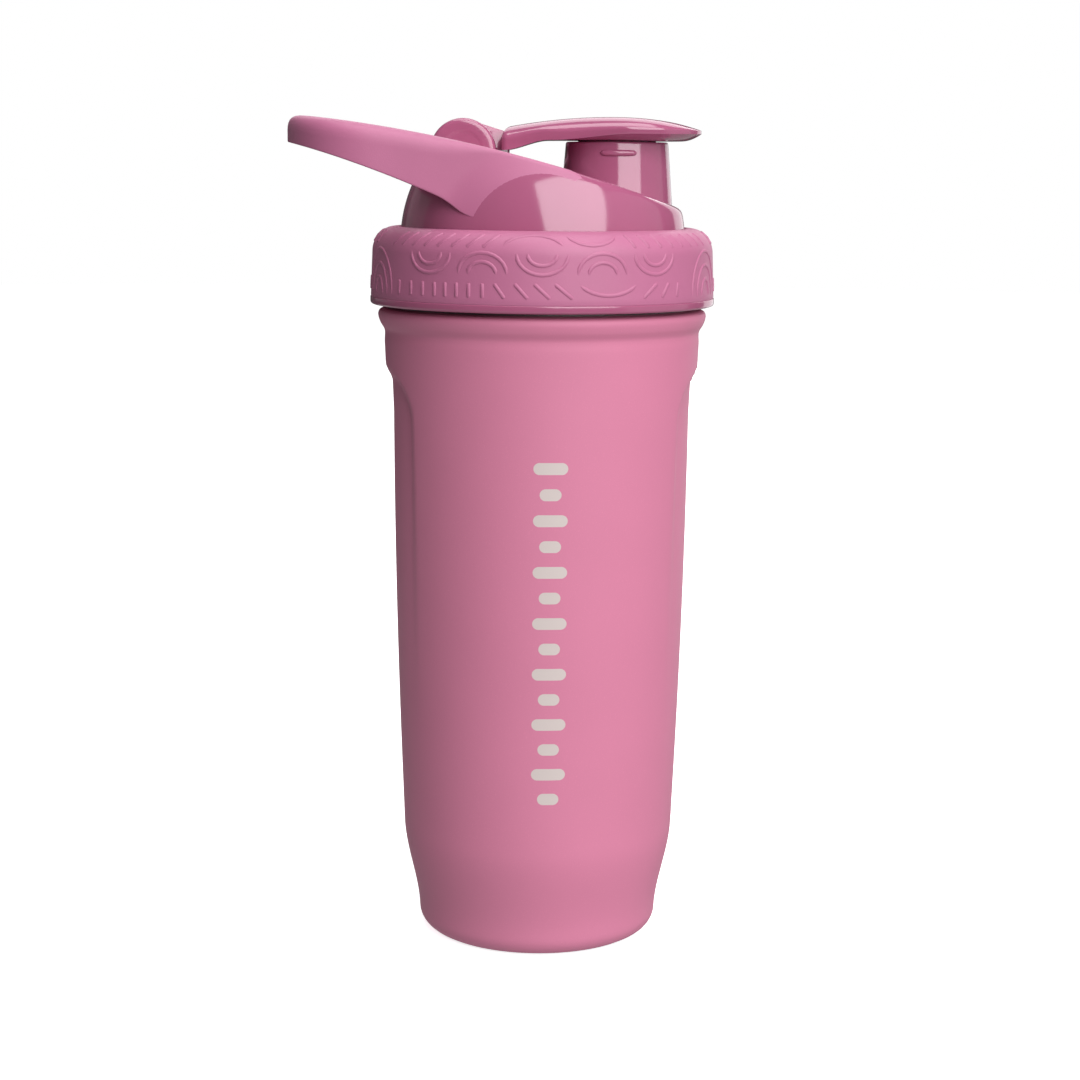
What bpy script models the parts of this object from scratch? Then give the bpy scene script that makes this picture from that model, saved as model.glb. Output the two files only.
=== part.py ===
"""A protein shaker: a single-wall steel cup, a screw-on lid with a carry loop and a flip cap.

The frame is metres, +Z up. The origin is on the cup's axis, on the surface the cup stands on.
+X runs from the carry loop over the flip cap's hinge to the drinking spout.
"""

from math import asin, atan2, cos, degrees, pi, radians, sin, sqrt

import bmesh
import bpy
from mathutils import Matrix, Vector

MM = 0.001

# Overall sizes
CUP_HEIGHT = 177.8 * MM  # from the base to the top of the shoulder
LID_RADIUS = 48.0 * MM  # outside the grip ring, at its bottom
RING_HEIGHT = 18.5 * MM
HANDLE_REACH = 30.8 * MM  # from the dome's back to the loop's tip

# Walls and fits
STEEL = 0.7 * MM
LID_WALL = 2.2 * MM
RING_WALL = 2.4 * MM
RING_TOP_WALL = 1.7 * MM
TOP_PLATE = 2.5 * MM
FIT = 0.3 * MM  # gap between pieces that touch
SIDES = 40  # facets round every large turned piece
RING_SIDES = 44  # and round the grip ring
WELD = 0.003 * MM  # points nearer than this become one

# Cup
SHOULDER_SET_IN = 2.3 * MM  # the shoulder bead inside the lid's radius
BEAD_HEIGHT = 6.2 * MM
BODY_SET_IN = 4.2 * MM  # the body's top inside the lid's radius
BODY_TOP_DROP = 11.8 * MM  # from the shoulder down to where the taper starts
BODY_TAPER = 0.0396  # radius lost per length
FOOT_HEIGHT = 31.0 * MM
FOOT_NARROWING = 3.4 * MM
FOOT_FILLET = 4.1 * MM
STANDING_RING = 4.8 * MM  # width of the flat ring the cup stands on
BASE_RECESS = 1.2 * MM
BASE_RECESS_SLOPE = 2.0 * MM
RIM_HEIGHT = 1.4 * MM
RIM_THICKNESS = 1.5 * MM
PANEL_DEPTH = 1.7 * MM
PANEL_ANGLE = radians(35)  # half the angle that a grip panel spans
PANEL_SOFTNESS = radians(7)
PANEL_TOP_DROP = 15.5 * MM  # from the shoulder to the top of the panel
PANEL_ARCH = 13.5 * MM
PANEL_BOTTOM = 48.0 * MM

# Screw thread
THREAD_PITCH = 5.0 * MM
THREAD_DEPTH = 1.2 * MM
THREAD_BASE = 2.6 * MM
THREAD_CREST = 1.2 * MM
THREAD_PLAY = 0.5 * MM
THREAD_LIFT = 3.4 * MM  # from the shoulder to the lower end of the cup's thread
CUP_TURNS = (0.0, 1.4)  # where each thread starts and ends, in turns along one helix
LID_TURNS = (0.6, 1.9)
THREAD_STEPS = 30  # sections in one turn
THREAD_RUN_OUT = 3  # sections over which each end fades

# Lid
LID_GAP = 1.2 * MM  # between the shoulder and the lid
LIP_HEIGHT = 2.4 * MM
LIP_FILLET = 1.5 * MM
RING_DRAFT = 0.6 * MM
RING_FILLET = 6.0 * MM
DOME_SET_IN = 8.5 * MM  # the dome's radius inside the lid's radius
DOME_SINK = 4.2 * MM  # the dome's centre below the ring's top
COLLAR_DROP = 6.2 * MM  # the strainer's collar below the gasket seat
COLLAR_WALL = 2.0 * MM
GASKET_THICKNESS = 1.8 * MM

# The swept top of the dome and loop: height = lift + slope * x - x * x / (2 * bend)
CREST_LIFT = 21.8 * MM  # above the dome's centre, on the axis
CREST_SLOPE = -0.27
CREST_BEND = 375.0 * MM

# Carry loop
LOOP_HALF_WIDTH = 31.6 * MM
LOOP_TAPER = 1.2 * MM  # narrower on each side where the rounded end starts
LOOP_ROUND = 26.0 * MM  # length of the rounded end
LOOP_WALL = 7.5 * MM
LOOP_TIP_THICKNESS = 7.4 * MM
LOOP_ROOT_THICKNESS = 17.0 * MM
LOOP_ROOT_X = -21.5 * MM

# Spout
SPOUT_TOP_RADIUS = 13.4 * MM
SPOUT_BASE_RADIUS = 15.2 * MM
SPOUT_WALL = 2.2 * MM
SPOUT_EDGE = 3.4 * MM  # from the spout's foot to the dome's side
RIB_LENGTH = 9.1 * MM
RIB_HEIGHT = 1.5 * MM
RIB_PROUD = 0.9 * MM
RIB_DROP = 3.4 * MM  # below the spout's mouth

# Hinge
HINGE_REACH = 42.7 * MM  # from the spout's axis to the pin
HINGE_SINK = 2.4 * MM  # the pin's axis below the swept top
EAR_RADIUS = 9.2 * MM
EAR_THICKNESS = 5.5 * MM
KNUCKLE_RADIUS = 5.0 * MM
KNUCKLE_HALF_WIDTH = 6.7 * MM
PIN_RADIUS = 1.5 * MM
PIN_BLIND = 1.6 * MM  # ear left in front of the pin's end
POCKET_PLAY = 0.6 * MM
CAP_EAR_PLAY = 1.2 * MM

# Flip cap
CAP_RISE = 2.9 * MM  # the spout's mouth above the pin's axis
CAP_CROWN = 9.2 * MM  # the cap's highest point above the pin's axis
CAP_CROWN_OFFSET = 4.9 * MM  # from the highest point to the spout's axis
CAP_BEND = 108.0 * MM  # radius of its crowned top, along the bottle
CAP_ROOT_HALF_WIDTH = 13.5 * MM
CAP_DISC_RADIUS = 19.0 * MM
CAP_DISC_OFFSET = 3.7 * MM  # the disc's centre beyond the spout's axis
CAP_EDGE = 1.2 * MM  # thickness at the thumb edge
CAP_RIM_WIDTH = 6.0 * MM  # the underside rises to the edge over this width
CAP_BOSS_DEPTH = 2.8 * MM
SEAL_WALL = 2.6 * MM
SEAL_FLOOR = 1.4 * MM
SEAL_PLAY = 0.4 * MM  # between the seal and the spout's bore

# Strainer
STRAINER_PLATE = 1.8 * MM
STRAINER_RIM_WALL = 1.4 * MM
STRAINER_FLANGE = 1.6 * MM
STRAINER_FLANGE_HEIGHT = 1.8 * MM
STRAINER_DROP = 3.1 * MM  # the plate's underside below the collar
STRAINER_RIM_RISE = 4.5 * MM  # inside the collar
MESH_PITCH = 7.4 * MM
MESH_HOLE = 3.6 * MM

# Heights and radii that follow
LID_BOTTOM = CUP_HEIGHT + LID_GAP
LIP_TOP = LID_BOTTOM + LIP_HEIGHT
RING_BOTTOM = LIP_TOP + FIT
RING_TOP = RING_BOTTOM + RING_HEIGHT
PLATE_TOP = RING_TOP - RING_TOP_WALL - FIT
SEAT = PLATE_TOP - TOP_PLATE
GASKET_TOP = SEAT - FIT
GASKET_BOTTOM = GASKET_TOP - GASKET_THICKNESS
RIM_TOP = GASKET_BOTTOM - FIT
COLLAR_BOTTOM = SEAT - COLLAR_DROP
SKIRT_RADIUS = LID_RADIUS - RING_WALL - FIT
SKIRT_BORE = SKIRT_RADIUS - LID_WALL
NECK_RADIUS = SKIRT_BORE - THREAD_PLAY - THREAD_DEPTH
THREAD_START = CUP_HEIGHT + THREAD_LIFT
DOME_RADIUS = LID_RADIUS - DOME_SET_IN
DOME_CENTRE = RING_TOP - DOME_SINK
DOME_BORE = DOME_RADIUS - LID_WALL
COLLAR_RADIUS = DOME_BORE + COLLAR_WALL
LOOP_TIP_X = -(DOME_RADIUS + HANDLE_REACH)
SPOUT_X = DOME_RADIUS - SPOUT_EDGE - SPOUT_BASE_RADIUS
SPOUT_BORE = SPOUT_TOP_RADIUS - SPOUT_WALL
HINGE_X = SPOUT_X - HINGE_REACH


def crest(x):
    """Height of the swept top of the dome and loop at x."""
    return DOME_CENTRE + CREST_LIFT + CREST_SLOPE * x - x * x / (2 * CREST_BEND)


HINGE_Z = crest(HINGE_X) - HINGE_SINK
SPOUT_TOP = HINGE_Z + CAP_RISE
EAR_INNER = KNUCKLE_HALF_WIDTH + FIT
EAR_OUTER = EAR_INNER + EAR_THICKNESS
CAP_ROOT_X = HINGE_X + EAR_RADIUS + CAP_EAR_PLAY
CAP_DISC_X = SPOUT_X + CAP_DISC_OFFSET
CAP_UNDERSIDE = SPOUT_TOP + FIT
SEAL_RADIUS = SPOUT_BORE - SEAL_PLAY
CAP_BOSS_RADIUS = SEAL_RADIUS - SEAL_WALL


# Shared tools


def clear_scene():
    for obj in list(bpy.data.objects):
        bpy.data.objects.remove(obj)


def material(name, colour, roughness, metallic=0.0):
    made = bpy.data.materials.new(name)
    made.use_nodes = True
    shader = made.node_tree.nodes["Principled BSDF"]
    shader.inputs["Base Color"].default_value = (*colour, 1)
    shader.inputs["Roughness"].default_value = roughness
    shader.inputs["Metallic"].default_value = metallic
    return made


def finish(bm, name, look=None):
    """Turns a bmesh into a named object with its faces pointing out."""
    bmesh.ops.recalc_face_normals(bm, faces=bm.faces)
    mesh = bpy.data.meshes.new(name)
    bm.to_mesh(mesh)
    bm.free()
    made = bpy.data.objects.new(name, mesh)
    bpy.context.scene.collection.objects.link(made)
    if look:
        mesh.materials.append(look)
    return made


def smooth(obj):
    obj.data.shade_smooth()
    obj.data.set_sharp_from_angle(angle=radians(32))


def arc(centre, radius, start, end, steps):
    """Points on an arc in the (r, z) plane, from one angle to another, in degrees."""
    angles = [radians(start + (end - start) * i / steps) for i in range(steps + 1)]
    return [(centre[0] + radius * cos(a), centre[1] + radius * sin(a)) for a in angles]


def turned(name, profile, look=None, sides=SIDES):
    """A solid of revolution about Z. The profile is closed, or starts and ends on the axis."""
    bm = bmesh.new()
    points = [bm.verts.new((r, 0, z)) for r, z in profile]
    edges = [bm.edges.new(pair) for pair in zip(points, points[1:])]
    if profile[0][0] > 0:
        edges.append(bm.edges.new((points[-1], points[0])))
    bmesh.ops.spin(
        bm,
        geom=points + edges,
        cent=(0, 0, 0),
        axis=(0, 0, 1),
        angle=2 * pi,
        steps=sides,
        use_merge=True,
    )
    bmesh.ops.remove_doubles(bm, verts=bm.verts, dist=1e-6)
    return finish(bm, name, look)


def prism(name, outline, start, end, axis):
    """An outline extruded from start to end: (x, z) points along Y, or (x, y) points along Z."""
    place = {"Y": lambda u, v: (u, start, v), "Z": lambda u, v: (u, v, start)}[axis]
    travel = {"Y": (0, end - start, 0), "Z": (0, 0, end - start)}[axis]
    bm = bmesh.new()
    face = bm.faces.new([bm.verts.new(place(u, v)) for u, v in outline])
    grown = bmesh.ops.extrude_face_region(bm, geom=[face])["geom"]
    moved = [item for item in grown if isinstance(item, bmesh.types.BMVert)]
    bmesh.ops.translate(bm, verts=moved, vec=travel)
    return finish(bm, name)


def block(name, low, high):
    """A box between two corners."""
    size = Vector(high) - Vector(low)
    middle = (Vector(high) + Vector(low)) / 2
    bm = bmesh.new()
    bmesh.ops.create_cube(bm, size=1, matrix=Matrix.Translation(middle) @ Matrix.Diagonal((*size, 1)))
    return finish(bm, name)


def rod(name, centre, radius, start, end, axis, sides=24, end_radius=None):
    """A round bar, or a cone, along Y or Z from start to end."""
    turn = Matrix.Rotation(-pi / 2, 4, "X") if axis == "Y" else Matrix.Identity(4)
    middle = (start + end) / 2
    place = (centre[0], middle, centre[1]) if axis == "Y" else (centre[0], centre[1], middle)
    bm = bmesh.new()
    bmesh.ops.create_cone(
        bm,
        cap_ends=True,
        segments=sides,
        radius1=radius,
        radius2=radius if end_radius is None else end_radius,
        depth=end - start,
        matrix=Matrix.Translation(place) @ turn,
    )
    return finish(bm, name)


def combine(obj, operation, *others):
    """Applies one Boolean after another, removes the helper objects and welds the result."""
    for other in others:
        step = obj.modifiers.new(operation.title(), "BOOLEAN")
        step.operation = operation
        step.object = other
        graph = bpy.context.evaluated_depsgraph_get()
        result = bpy.data.meshes.new_from_object(obj.evaluated_get(graph))
        obj.modifiers.clear()
        obj.data = result
        bpy.data.objects.remove(other)
    bm = bmesh.new()
    bm.from_mesh(obj.data)
    bmesh.ops.remove_doubles(bm, verts=bm.verts, dist=WELD)
    bmesh.ops.dissolve_degenerate(bm, edges=bm.edges, dist=WELD)
    bm.to_mesh(obj.data)
    bm.free()
    return obj


def thread(name, radius, start, turns, outward):
    """A helical ridge rooted a little inside its wall, standing outward or inward.

    start is the helix's height at turn 0, and turns is where the ridge starts and ends.
    """
    direction = 1 if outward else -1
    root = 0.35 * MM
    sections = round((turns[1] - turns[0]) * THREAD_STEPS)
    bm = bmesh.new()
    rings = []
    for i in range(sections + 1):
        turn = turns[0] + i / THREAD_STEPS
        fade = min(1, i / THREAD_RUN_OUT, (sections - i) / THREAD_RUN_OUT)
        middle = start + THREAD_PITCH * turn
        top = radius + direction * (THREAD_DEPTH * fade - root * (1 - fade) / 2)
        foot = radius - direction * root
        section = [
            (foot, middle - THREAD_BASE / 2),
            (top, middle - THREAD_CREST / 2),
            (top, middle + THREAD_CREST / 2),
            (foot, middle + THREAD_BASE / 2),
        ]
        angle = 2 * pi * turn
        rings.append([bm.verts.new((r * cos(angle), r * sin(angle), z)) for r, z in section])
    for first, second in zip(rings, rings[1:]):
        for k in range(4):
            bm.faces.new((first[k], first[(k + 1) % 4], second[(k + 1) % 4], second[k]))
    bm.faces.new(rings[0])
    bm.faces.new(rings[-1])
    return finish(bm, name)


# Cup


def ease(t):
    t = max(0.0, min(1.0, t))
    return t * t * (3 - 2 * t)


def body_radius(z):
    """Outside radius of the cup's wall, leaving out the grip panels."""
    top = CUP_HEIGHT - BODY_TOP_DROP
    tapered = LID_RADIUS - BODY_SET_IN - BODY_TAPER * (top - z)
    start = FOOT_FILLET
    return tapered - FOOT_NARROWING * (1 - ease((z - start) / (FOOT_HEIGHT - start)))


def panel_dent(angle, z):
    """How far a grip panel pulls the wall in at an angle from +X and a height."""
    top = CUP_HEIGHT - PANEL_TOP_DROP
    if not PANEL_BOTTOM < z < top:
        return 0.0
    arch = top - PANEL_ARCH
    if z > arch:
        spread = sqrt(1 - ((z - arch) / PANEL_ARCH) ** 2)
    else:
        spread = 1 - ((arch - z) / (arch - PANEL_BOTTOM)) ** 4
    off_side = min(abs(angle), pi - abs(angle))
    edge = ease((spread * PANEL_ANGLE - off_side) / PANEL_SOFTNESS)
    fade = ((z - PANEL_BOTTOM) / (arch - PANEL_BOTTOM)) ** 2 if z < arch else 1.0
    return PANEL_DEPTH * edge * fade


def cup_outline(inset):
    """The cup's wall in (r, z) from the axis up to the neck, set in by the wall's thickness."""
    foot = body_radius(FOOT_FILLET)
    ring_out = foot - FOOT_FILLET
    ring_in = ring_out - STANDING_RING
    slope_in = ring_in - BASE_RECESS_SLOPE
    bead = LID_RADIUS - SHOULDER_SET_IN
    waist = LID_RADIUS - BODY_SET_IN
    top = CUP_HEIGHT - BODY_TOP_DROP
    panel_top = CUP_HEIGHT - PANEL_TOP_DROP
    base = [(0, BASE_RECESS), (slope_in, BASE_RECESS), (ring_in, 0)]
    base = [(r, z + inset) for r, z in base]
    turn = arc((ring_out, FOOT_FILLET), FOOT_FILLET - inset, -90, 0, 3)
    lower = [FOOT_FILLET + (FOOT_HEIGHT - FOOT_FILLET) * i / 5 for i in range(1, 6)]
    middle_span = panel_top - PANEL_ARCH - FOOT_HEIGHT
    middle = [FOOT_HEIGHT + middle_span * i / 7 for i in range(1, 8)]
    arch = [panel_top - PANEL_ARCH * (1 - s) for s in (0.35, 0.65, 0.85, 1.0)]
    wall = [(body_radius(z) - inset, z) for z in (*lower, *middle, *arch, top)]
    low = CUP_HEIGHT - BEAD_HEIGHT
    swell = [
        (waist, low - 0.6 * MM),
        (waist + 0.25 * MM, low + 0.4 * MM),
        (bead - 0.35 * MM, low + 2.8 * MM),
        (bead, low + 4.4 * MM),
        (bead - 0.5 * MM, CUP_HEIGHT - 0.3 * MM),
        (bead - 1.4 * MM, CUP_HEIGHT),
    ]
    drop = min(inset, STEEL)
    swell = [(r - inset, z - drop * ease(i / 5)) for i, (r, z) in enumerate(swell)]
    neck = [
        (NECK_RADIUS + 1.0 * MM - inset, CUP_HEIGHT - inset),
        (NECK_RADIUS - inset, CUP_HEIGHT + 1.0 * MM - inset),
    ]
    return base + turn + wall + swell + neck


def dent_panels(cup):
    """Flattens the grip panels on the cup's two sides."""
    for vertex in cup.data.vertices:
        x, y, z = vertex.co
        radius = sqrt(x * x + y * y)
        if radius > 0:
            pulled = 1 - panel_dent(atan2(y, x), z) / radius
            vertex.co = (x * pulled, y * pulled, z)


def make_cup(look):
    rim_low = RIM_TOP - RIM_HEIGHT
    inner = NECK_RADIUS - RIM_THICKNESS
    soft = 0.4 * MM
    rim = [
        (NECK_RADIUS, RIM_TOP - soft),
        (NECK_RADIUS - soft, RIM_TOP),
        (inner + soft, RIM_TOP),
        (inner, RIM_TOP - soft),
        (inner, rim_low),
        (NECK_RADIUS - STEEL, rim_low - RIM_THICKNESS / 2),
    ]
    cup = turned("steel_cup", cup_outline(0) + rim + cup_outline(STEEL)[::-1], look)
    dent_panels(cup)
    ridge = thread("cup_thread", NECK_RADIUS, THREAD_START, CUP_TURNS, True)
    combine(cup, "UNION", ridge)
    smooth(cup)
    return cup


# Lid


def crest_points(start, end, steps, drop=0.0):
    """(x, z) points along the swept top, a given depth under it."""
    places = [start + (end - start) * i / steps for i in range(steps + 1)]
    return [(x, crest(x) - drop) for x in places]


def above_crest(drop=0.0):
    """A block of everything above the swept top, or above a surface under it."""
    reach = 2 * LID_RADIUS
    ceiling = crest(-reach) + LID_RADIUS
    outline = crest_points(-reach, reach, 26, drop) + [(reach, ceiling), (-reach, ceiling)]
    return prism("above", outline, -reach, reach, "Y")


def loop_outline(inset):
    """Plan of the carry loop, set in from its outer side."""
    turn_x = LOOP_TIP_X + LOOP_ROUND
    half = LOOP_HALF_WIDTH - LOOP_TAPER - inset
    length = LOOP_ROUND - inset
    power = 0.85  # a little squarer than an ellipse
    end = []
    for i in range(13):
        angle = pi / 2 + pi * i / 12
        along = abs(cos(angle)) ** power * length
        across = abs(sin(angle)) ** power * half * (1 if sin(angle) > 0 else -1)
        end.append((turn_x - along, across))
    return end


def make_loop():
    """The carry loop and its two arms, reaching into the dome and a little above the swept top."""
    front = -LOOP_ROOT_X / 3
    span = LOOP_ROOT_X - LOOP_TIP_X
    under = []
    for i in range(7):
        share = i / 6
        x = LOOP_TIP_X + span * share
        growth = LOOP_ROOT_THICKNESS - LOOP_TIP_THICKNESS
        under.append((x, crest(x) - LOOP_TIP_THICKNESS - growth * share**1.25))
    floor = under[-1][1] - 1.0 * MM
    side = crest_points(LOOP_TIP_X, front, 4, -2 * MM)[::-1] + under + [(front, floor)]
    loop = prism("loop", side, -LOOP_HALF_WIDTH * 1.2, LOOP_HALF_WIDTH * 1.2, "Y")
    outer = [(front + LOOP_WALL, LOOP_HALF_WIDTH), *loop_outline(0)]
    outer.append((front + LOOP_WALL, -LOOP_HALF_WIDTH))
    low, high = RING_TOP - 10 * MM, crest(LOOP_TIP_X) + 10 * MM
    combine(loop, "INTERSECT", prism("plan", outer, low, high, "Z"))
    half = LOOP_HALF_WIDTH - LOOP_WALL
    inner = [(LOOP_ROOT_X, half), *loop_outline(LOOP_WALL), (LOOP_ROOT_X, -half)]
    combine(loop, "DIFFERENCE", prism("finger_gap", inner, low, high, "Z"))
    return loop


def lid_profile():
    """The lid's turned outline, with the dome solid down to the collar."""
    top_angle = degrees(asin((PLATE_TOP - DOME_CENTRE) / DOME_RADIUS))
    dome = arc((0, DOME_CENTRE), DOME_RADIUS, 90, top_angle, 14)
    lip = LID_RADIUS - RING_DRAFT / 2
    return [
        *dome,
        (SKIRT_RADIUS, PLATE_TOP),
        (SKIRT_RADIUS, LIP_TOP),
        (lip, LIP_TOP),
        *arc((lip - LIP_FILLET, LID_BOTTOM + LIP_FILLET), LIP_FILLET, 0, -90, 3),
        (SKIRT_BORE, LID_BOTTOM),
        (SKIRT_BORE, SEAT),
        (COLLAR_RADIUS, SEAT),
        (COLLAR_RADIUS, COLLAR_BOTTOM),
        (0, COLLAR_BOTTOM),
    ]


def hinge_boss():
    """The thick block under the hinge pocket, in which the pocket is sunk."""
    low = HINGE_Z - KNUCKLE_RADIUS - POCKET_PLAY - LID_WALL
    side = EAR_INNER + LID_WALL
    front = CAP_ROOT_X + POCKET_PLAY + LID_WALL
    return block("boss", (-LID_RADIUS, -side, low), (front, side, low + LID_RADIUS))


def dome_cavity():
    """The space under the dome: a smaller dome, under the swept top's wall and round the boss."""
    dome = arc((0, DOME_CENTRE), DOME_BORE, 90, 0, 12)
    hollow = turned("cavity", [*dome, (DOME_BORE, COLLAR_BOTTOM - MM), (0, COLLAR_BOTTOM - MM)])
    combine(hollow, "DIFFERENCE", above_crest(LID_WALL), hinge_boss())
    return hollow


def spout_solid():
    """The spout's outside, down into the dome's top."""
    foot = crest(SPOUT_X + SPOUT_BASE_RADIUS) - LID_WALL
    return rod("spout", (SPOUT_X, 0), SPOUT_BASE_RADIUS, foot, SPOUT_TOP, "Z", 32, SPOUT_TOP_RADIUS)


def snap_rib(side):
    """A short bead on the spout that the thumb feels, on the side given by its sign."""
    low = SPOUT_TOP - RIB_DROP
    near = SPOUT_TOP_RADIUS - SPOUT_WALL / 2
    far = SPOUT_TOP_RADIUS + RIB_PROUD
    ys = sorted((side * near, side * far))
    half = RIB_LENGTH / 2
    return block("rib", (SPOUT_X - half, ys[0], low), (SPOUT_X + half, ys[1], low + RIB_HEIGHT))


def hinge_pocket():
    """Room for the cap's knuckle and arm between the ears, open to the back."""
    low = HINGE_Z - KNUCKLE_RADIUS - POCKET_PLAY
    front = CAP_ROOT_X + POCKET_PLAY
    return block("pocket", (-LID_RADIUS, -EAR_INNER, low), (front, EAR_INNER, low + LID_RADIUS))


def make_lid(look):
    lid = turned("lid_shell", lid_profile(), look)
    combine(lid, "UNION", make_loop())
    combine(lid, "DIFFERENCE", above_crest())
    ears = rod("ears", (HINGE_X, HINGE_Z), EAR_RADIUS, -EAR_OUTER, EAR_OUTER, "Y", 28)
    combine(lid, "UNION", ears, spout_solid(), snap_rib(1), snap_rib(-1))
    combine(lid, "DIFFERENCE", dome_cavity(), hinge_pocket())
    below = DOME_CENTRE + LID_WALL
    bore = rod("bore", (SPOUT_X, 0), SPOUT_BORE, below, SPOUT_TOP + MM, "Z", 32)
    blind = -EAR_OUTER + PIN_BLIND
    pin_bore = rod("pin_bore", (HINGE_X, HINGE_Z), PIN_RADIUS + FIT, blind, LID_RADIUS, "Y", 16)
    combine(lid, "DIFFERENCE", bore, pin_bore)
    start = THREAD_START - THREAD_PITCH / 2
    combine(lid, "UNION", thread("lid_thread", SKIRT_BORE, start, LID_TURNS, False))
    smooth(lid)
    return lid


def make_ring(look):
    """The sleeve round the lid that the hand turns."""
    bore = SKIRT_RADIUS + FIT
    top = LID_RADIUS - RING_DRAFT - RING_FILLET
    shoulder = RING_TOP - RING_FILLET
    profile = [
        (DOME_RADIUS + FIT, RING_TOP - RING_TOP_WALL),
        (DOME_RADIUS + FIT, RING_TOP),
        *arc((top, shoulder), RING_FILLET, 90, 0, 5),
        (LID_RADIUS, RING_BOTTOM),
        (bore, RING_BOTTOM),
        (bore, RING_TOP - RING_TOP_WALL),
    ]
    ring = turned("grip_ring", profile, look, RING_SIDES)
    smooth(ring)
    return ring


def make_gasket(look):
    inner, outer = COLLAR_RADIUS + FIT, SKIRT_BORE - FIT
    profile = [
        (inner, GASKET_BOTTOM),
        (outer, GASKET_BOTTOM),
        (outer, GASKET_TOP),
        (inner, GASKET_TOP),
    ]
    gasket = turned("lid_gasket", profile, look)
    smooth(gasket)
    return gasket


# Flip cap


def cap_top(x):
    """Height of the cap's crowned top at x."""
    crown_x = SPOUT_X - CAP_CROWN_OFFSET
    return HINGE_Z + CAP_CROWN - (x - crown_x) ** 2 / (2 * CAP_BEND)


def cap_side():
    """The cap's side view, anticlockwise from the root's lower edge."""
    tip = CAP_DISC_X + CAP_DISC_RADIUS
    spout_back = SPOUT_X - SPOUT_TOP_RADIUS
    under = [
        (CAP_ROOT_X, crest(CAP_ROOT_X) + FIT),
        (spout_back - MM, CAP_UNDERSIDE - MM / 2),
        (spout_back, CAP_UNDERSIDE),
        (tip - CAP_RIM_WIDTH, CAP_UNDERSIDE),
        (tip, cap_top(tip) - CAP_EDGE),
    ]
    steps = 12
    top = [tip + (CAP_ROOT_X - tip) * i / steps for i in range(steps + 1)]
    return under + [(x, cap_top(x)) for x in top]


def cap_plan():
    """The cap's plan: a narrow root widening to the round lid of the spout."""
    disc = [radians(-112 + 224 * i / 22) for i in range(23)]
    outline = [(CAP_ROOT_X, -CAP_ROOT_HALF_WIDTH)]
    for angle in disc:
        x = CAP_DISC_X + CAP_DISC_RADIUS * cos(angle)
        outline.append((x, CAP_DISC_RADIUS * sin(angle)))
    outline.append((CAP_ROOT_X, CAP_ROOT_HALF_WIDTH))
    return outline


def make_cap(look):
    side = CAP_DISC_RADIUS + MM
    low, high = HINGE_Z - LID_RADIUS, HINGE_Z + LID_RADIUS
    cap = prism("flip_cap", cap_side(), -side, side, "Y")
    cap.data.materials.append(look)
    combine(cap, "INTERSECT", prism("cap_plan", cap_plan(), low, high, "Z"))
    web_low, web_high = HINGE_Z - KNUCKLE_RADIUS / 3, HINGE_Z + KNUCKLE_RADIUS * 0.85
    half = KNUCKLE_HALF_WIDTH
    web = block("web", (HINGE_X, -half, web_low), (CAP_ROOT_X + POCKET_PLAY / 2, half, web_high))
    knuckle = rod("knuckle", (HINGE_X, HINGE_Z), KNUCKLE_RADIUS, -half, half, "Y", 24)
    boss_low = CAP_UNDERSIDE - CAP_BOSS_DEPTH
    boss = rod("boss", (SPOUT_X, 0), CAP_BOSS_RADIUS, boss_low, CAP_UNDERSIDE + MM, "Z", 24)
    combine(cap, "UNION", web, knuckle, boss)
    bore = rod("bore", (HINGE_X, HINGE_Z), PIN_RADIUS + FIT, -side, side, "Y", 16)
    combine(cap, "DIFFERENCE", bore)
    place_on_hinge(cap)
    smooth(cap)
    return cap


def place_on_hinge(obj):
    """Moves a piece's origin to the hinge pin's axis."""
    pivot = Vector((HINGE_X, 0, HINGE_Z))
    obj.data.transform(Matrix.Translation(-pivot))
    obj.location = pivot


def make_seal(look):
    """The soft cup on the cap's boss that plugs the spout."""
    inner = CAP_BOSS_RADIUS + FIT
    boss_low = CAP_UNDERSIDE - CAP_BOSS_DEPTH - FIT
    top = CAP_UNDERSIDE - FIT
    profile = [
        (0, boss_low),
        (inner, boss_low),
        (inner, top),
        (SEAL_RADIUS, top),
        (SEAL_RADIUS, boss_low - SEAL_FLOOR / 2),
        (SEAL_RADIUS - SEAL_FLOOR, boss_low - SEAL_FLOOR),
        (0, boss_low - SEAL_FLOOR),
    ]
    seal = turned("spout_seal", profile, look, 32)
    seal.data.transform(Matrix.Translation((SPOUT_X, 0, 0)))
    place_on_hinge(seal)
    smooth(seal)
    return seal


def make_pin(look):
    start = -EAR_OUTER + PIN_BLIND + FIT
    pin = rod("hinge_pin", (HINGE_X, HINGE_Z), PIN_RADIUS, start, EAR_OUTER - FIT, "Y", 16)
    pin.data.materials.append(look)
    smooth(pin)
    return pin


# Strainer


def make_strainer(look):
    """The mixing grid, pushed into the lid's collar from below."""
    radius = DOME_BORE - FIT
    low = COLLAR_BOTTOM - STRAINER_DROP
    flange_top = COLLAR_BOTTOM - FIT
    flange_low = flange_top - STRAINER_FLANGE_HEIGHT
    high = COLLAR_BOTTOM + STRAINER_RIM_RISE
    profile = [
        (0, low),
        (radius, low),
        (radius, flange_low),
        (radius + STRAINER_FLANGE, flange_low),
        (radius + STRAINER_FLANGE, flange_top),
        (radius, flange_top),
        (radius, high),
        (radius - STRAINER_RIM_WALL, high),
        (radius - STRAINER_RIM_WALL, low + STRAINER_PLATE),
        (0, low + STRAINER_PLATE),
    ]
    strainer = turned("mixer_strainer", profile, look)
    combine(strainer, "DIFFERENCE", mesh_holes(radius, low))
    smooth(strainer)
    return strainer


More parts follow.
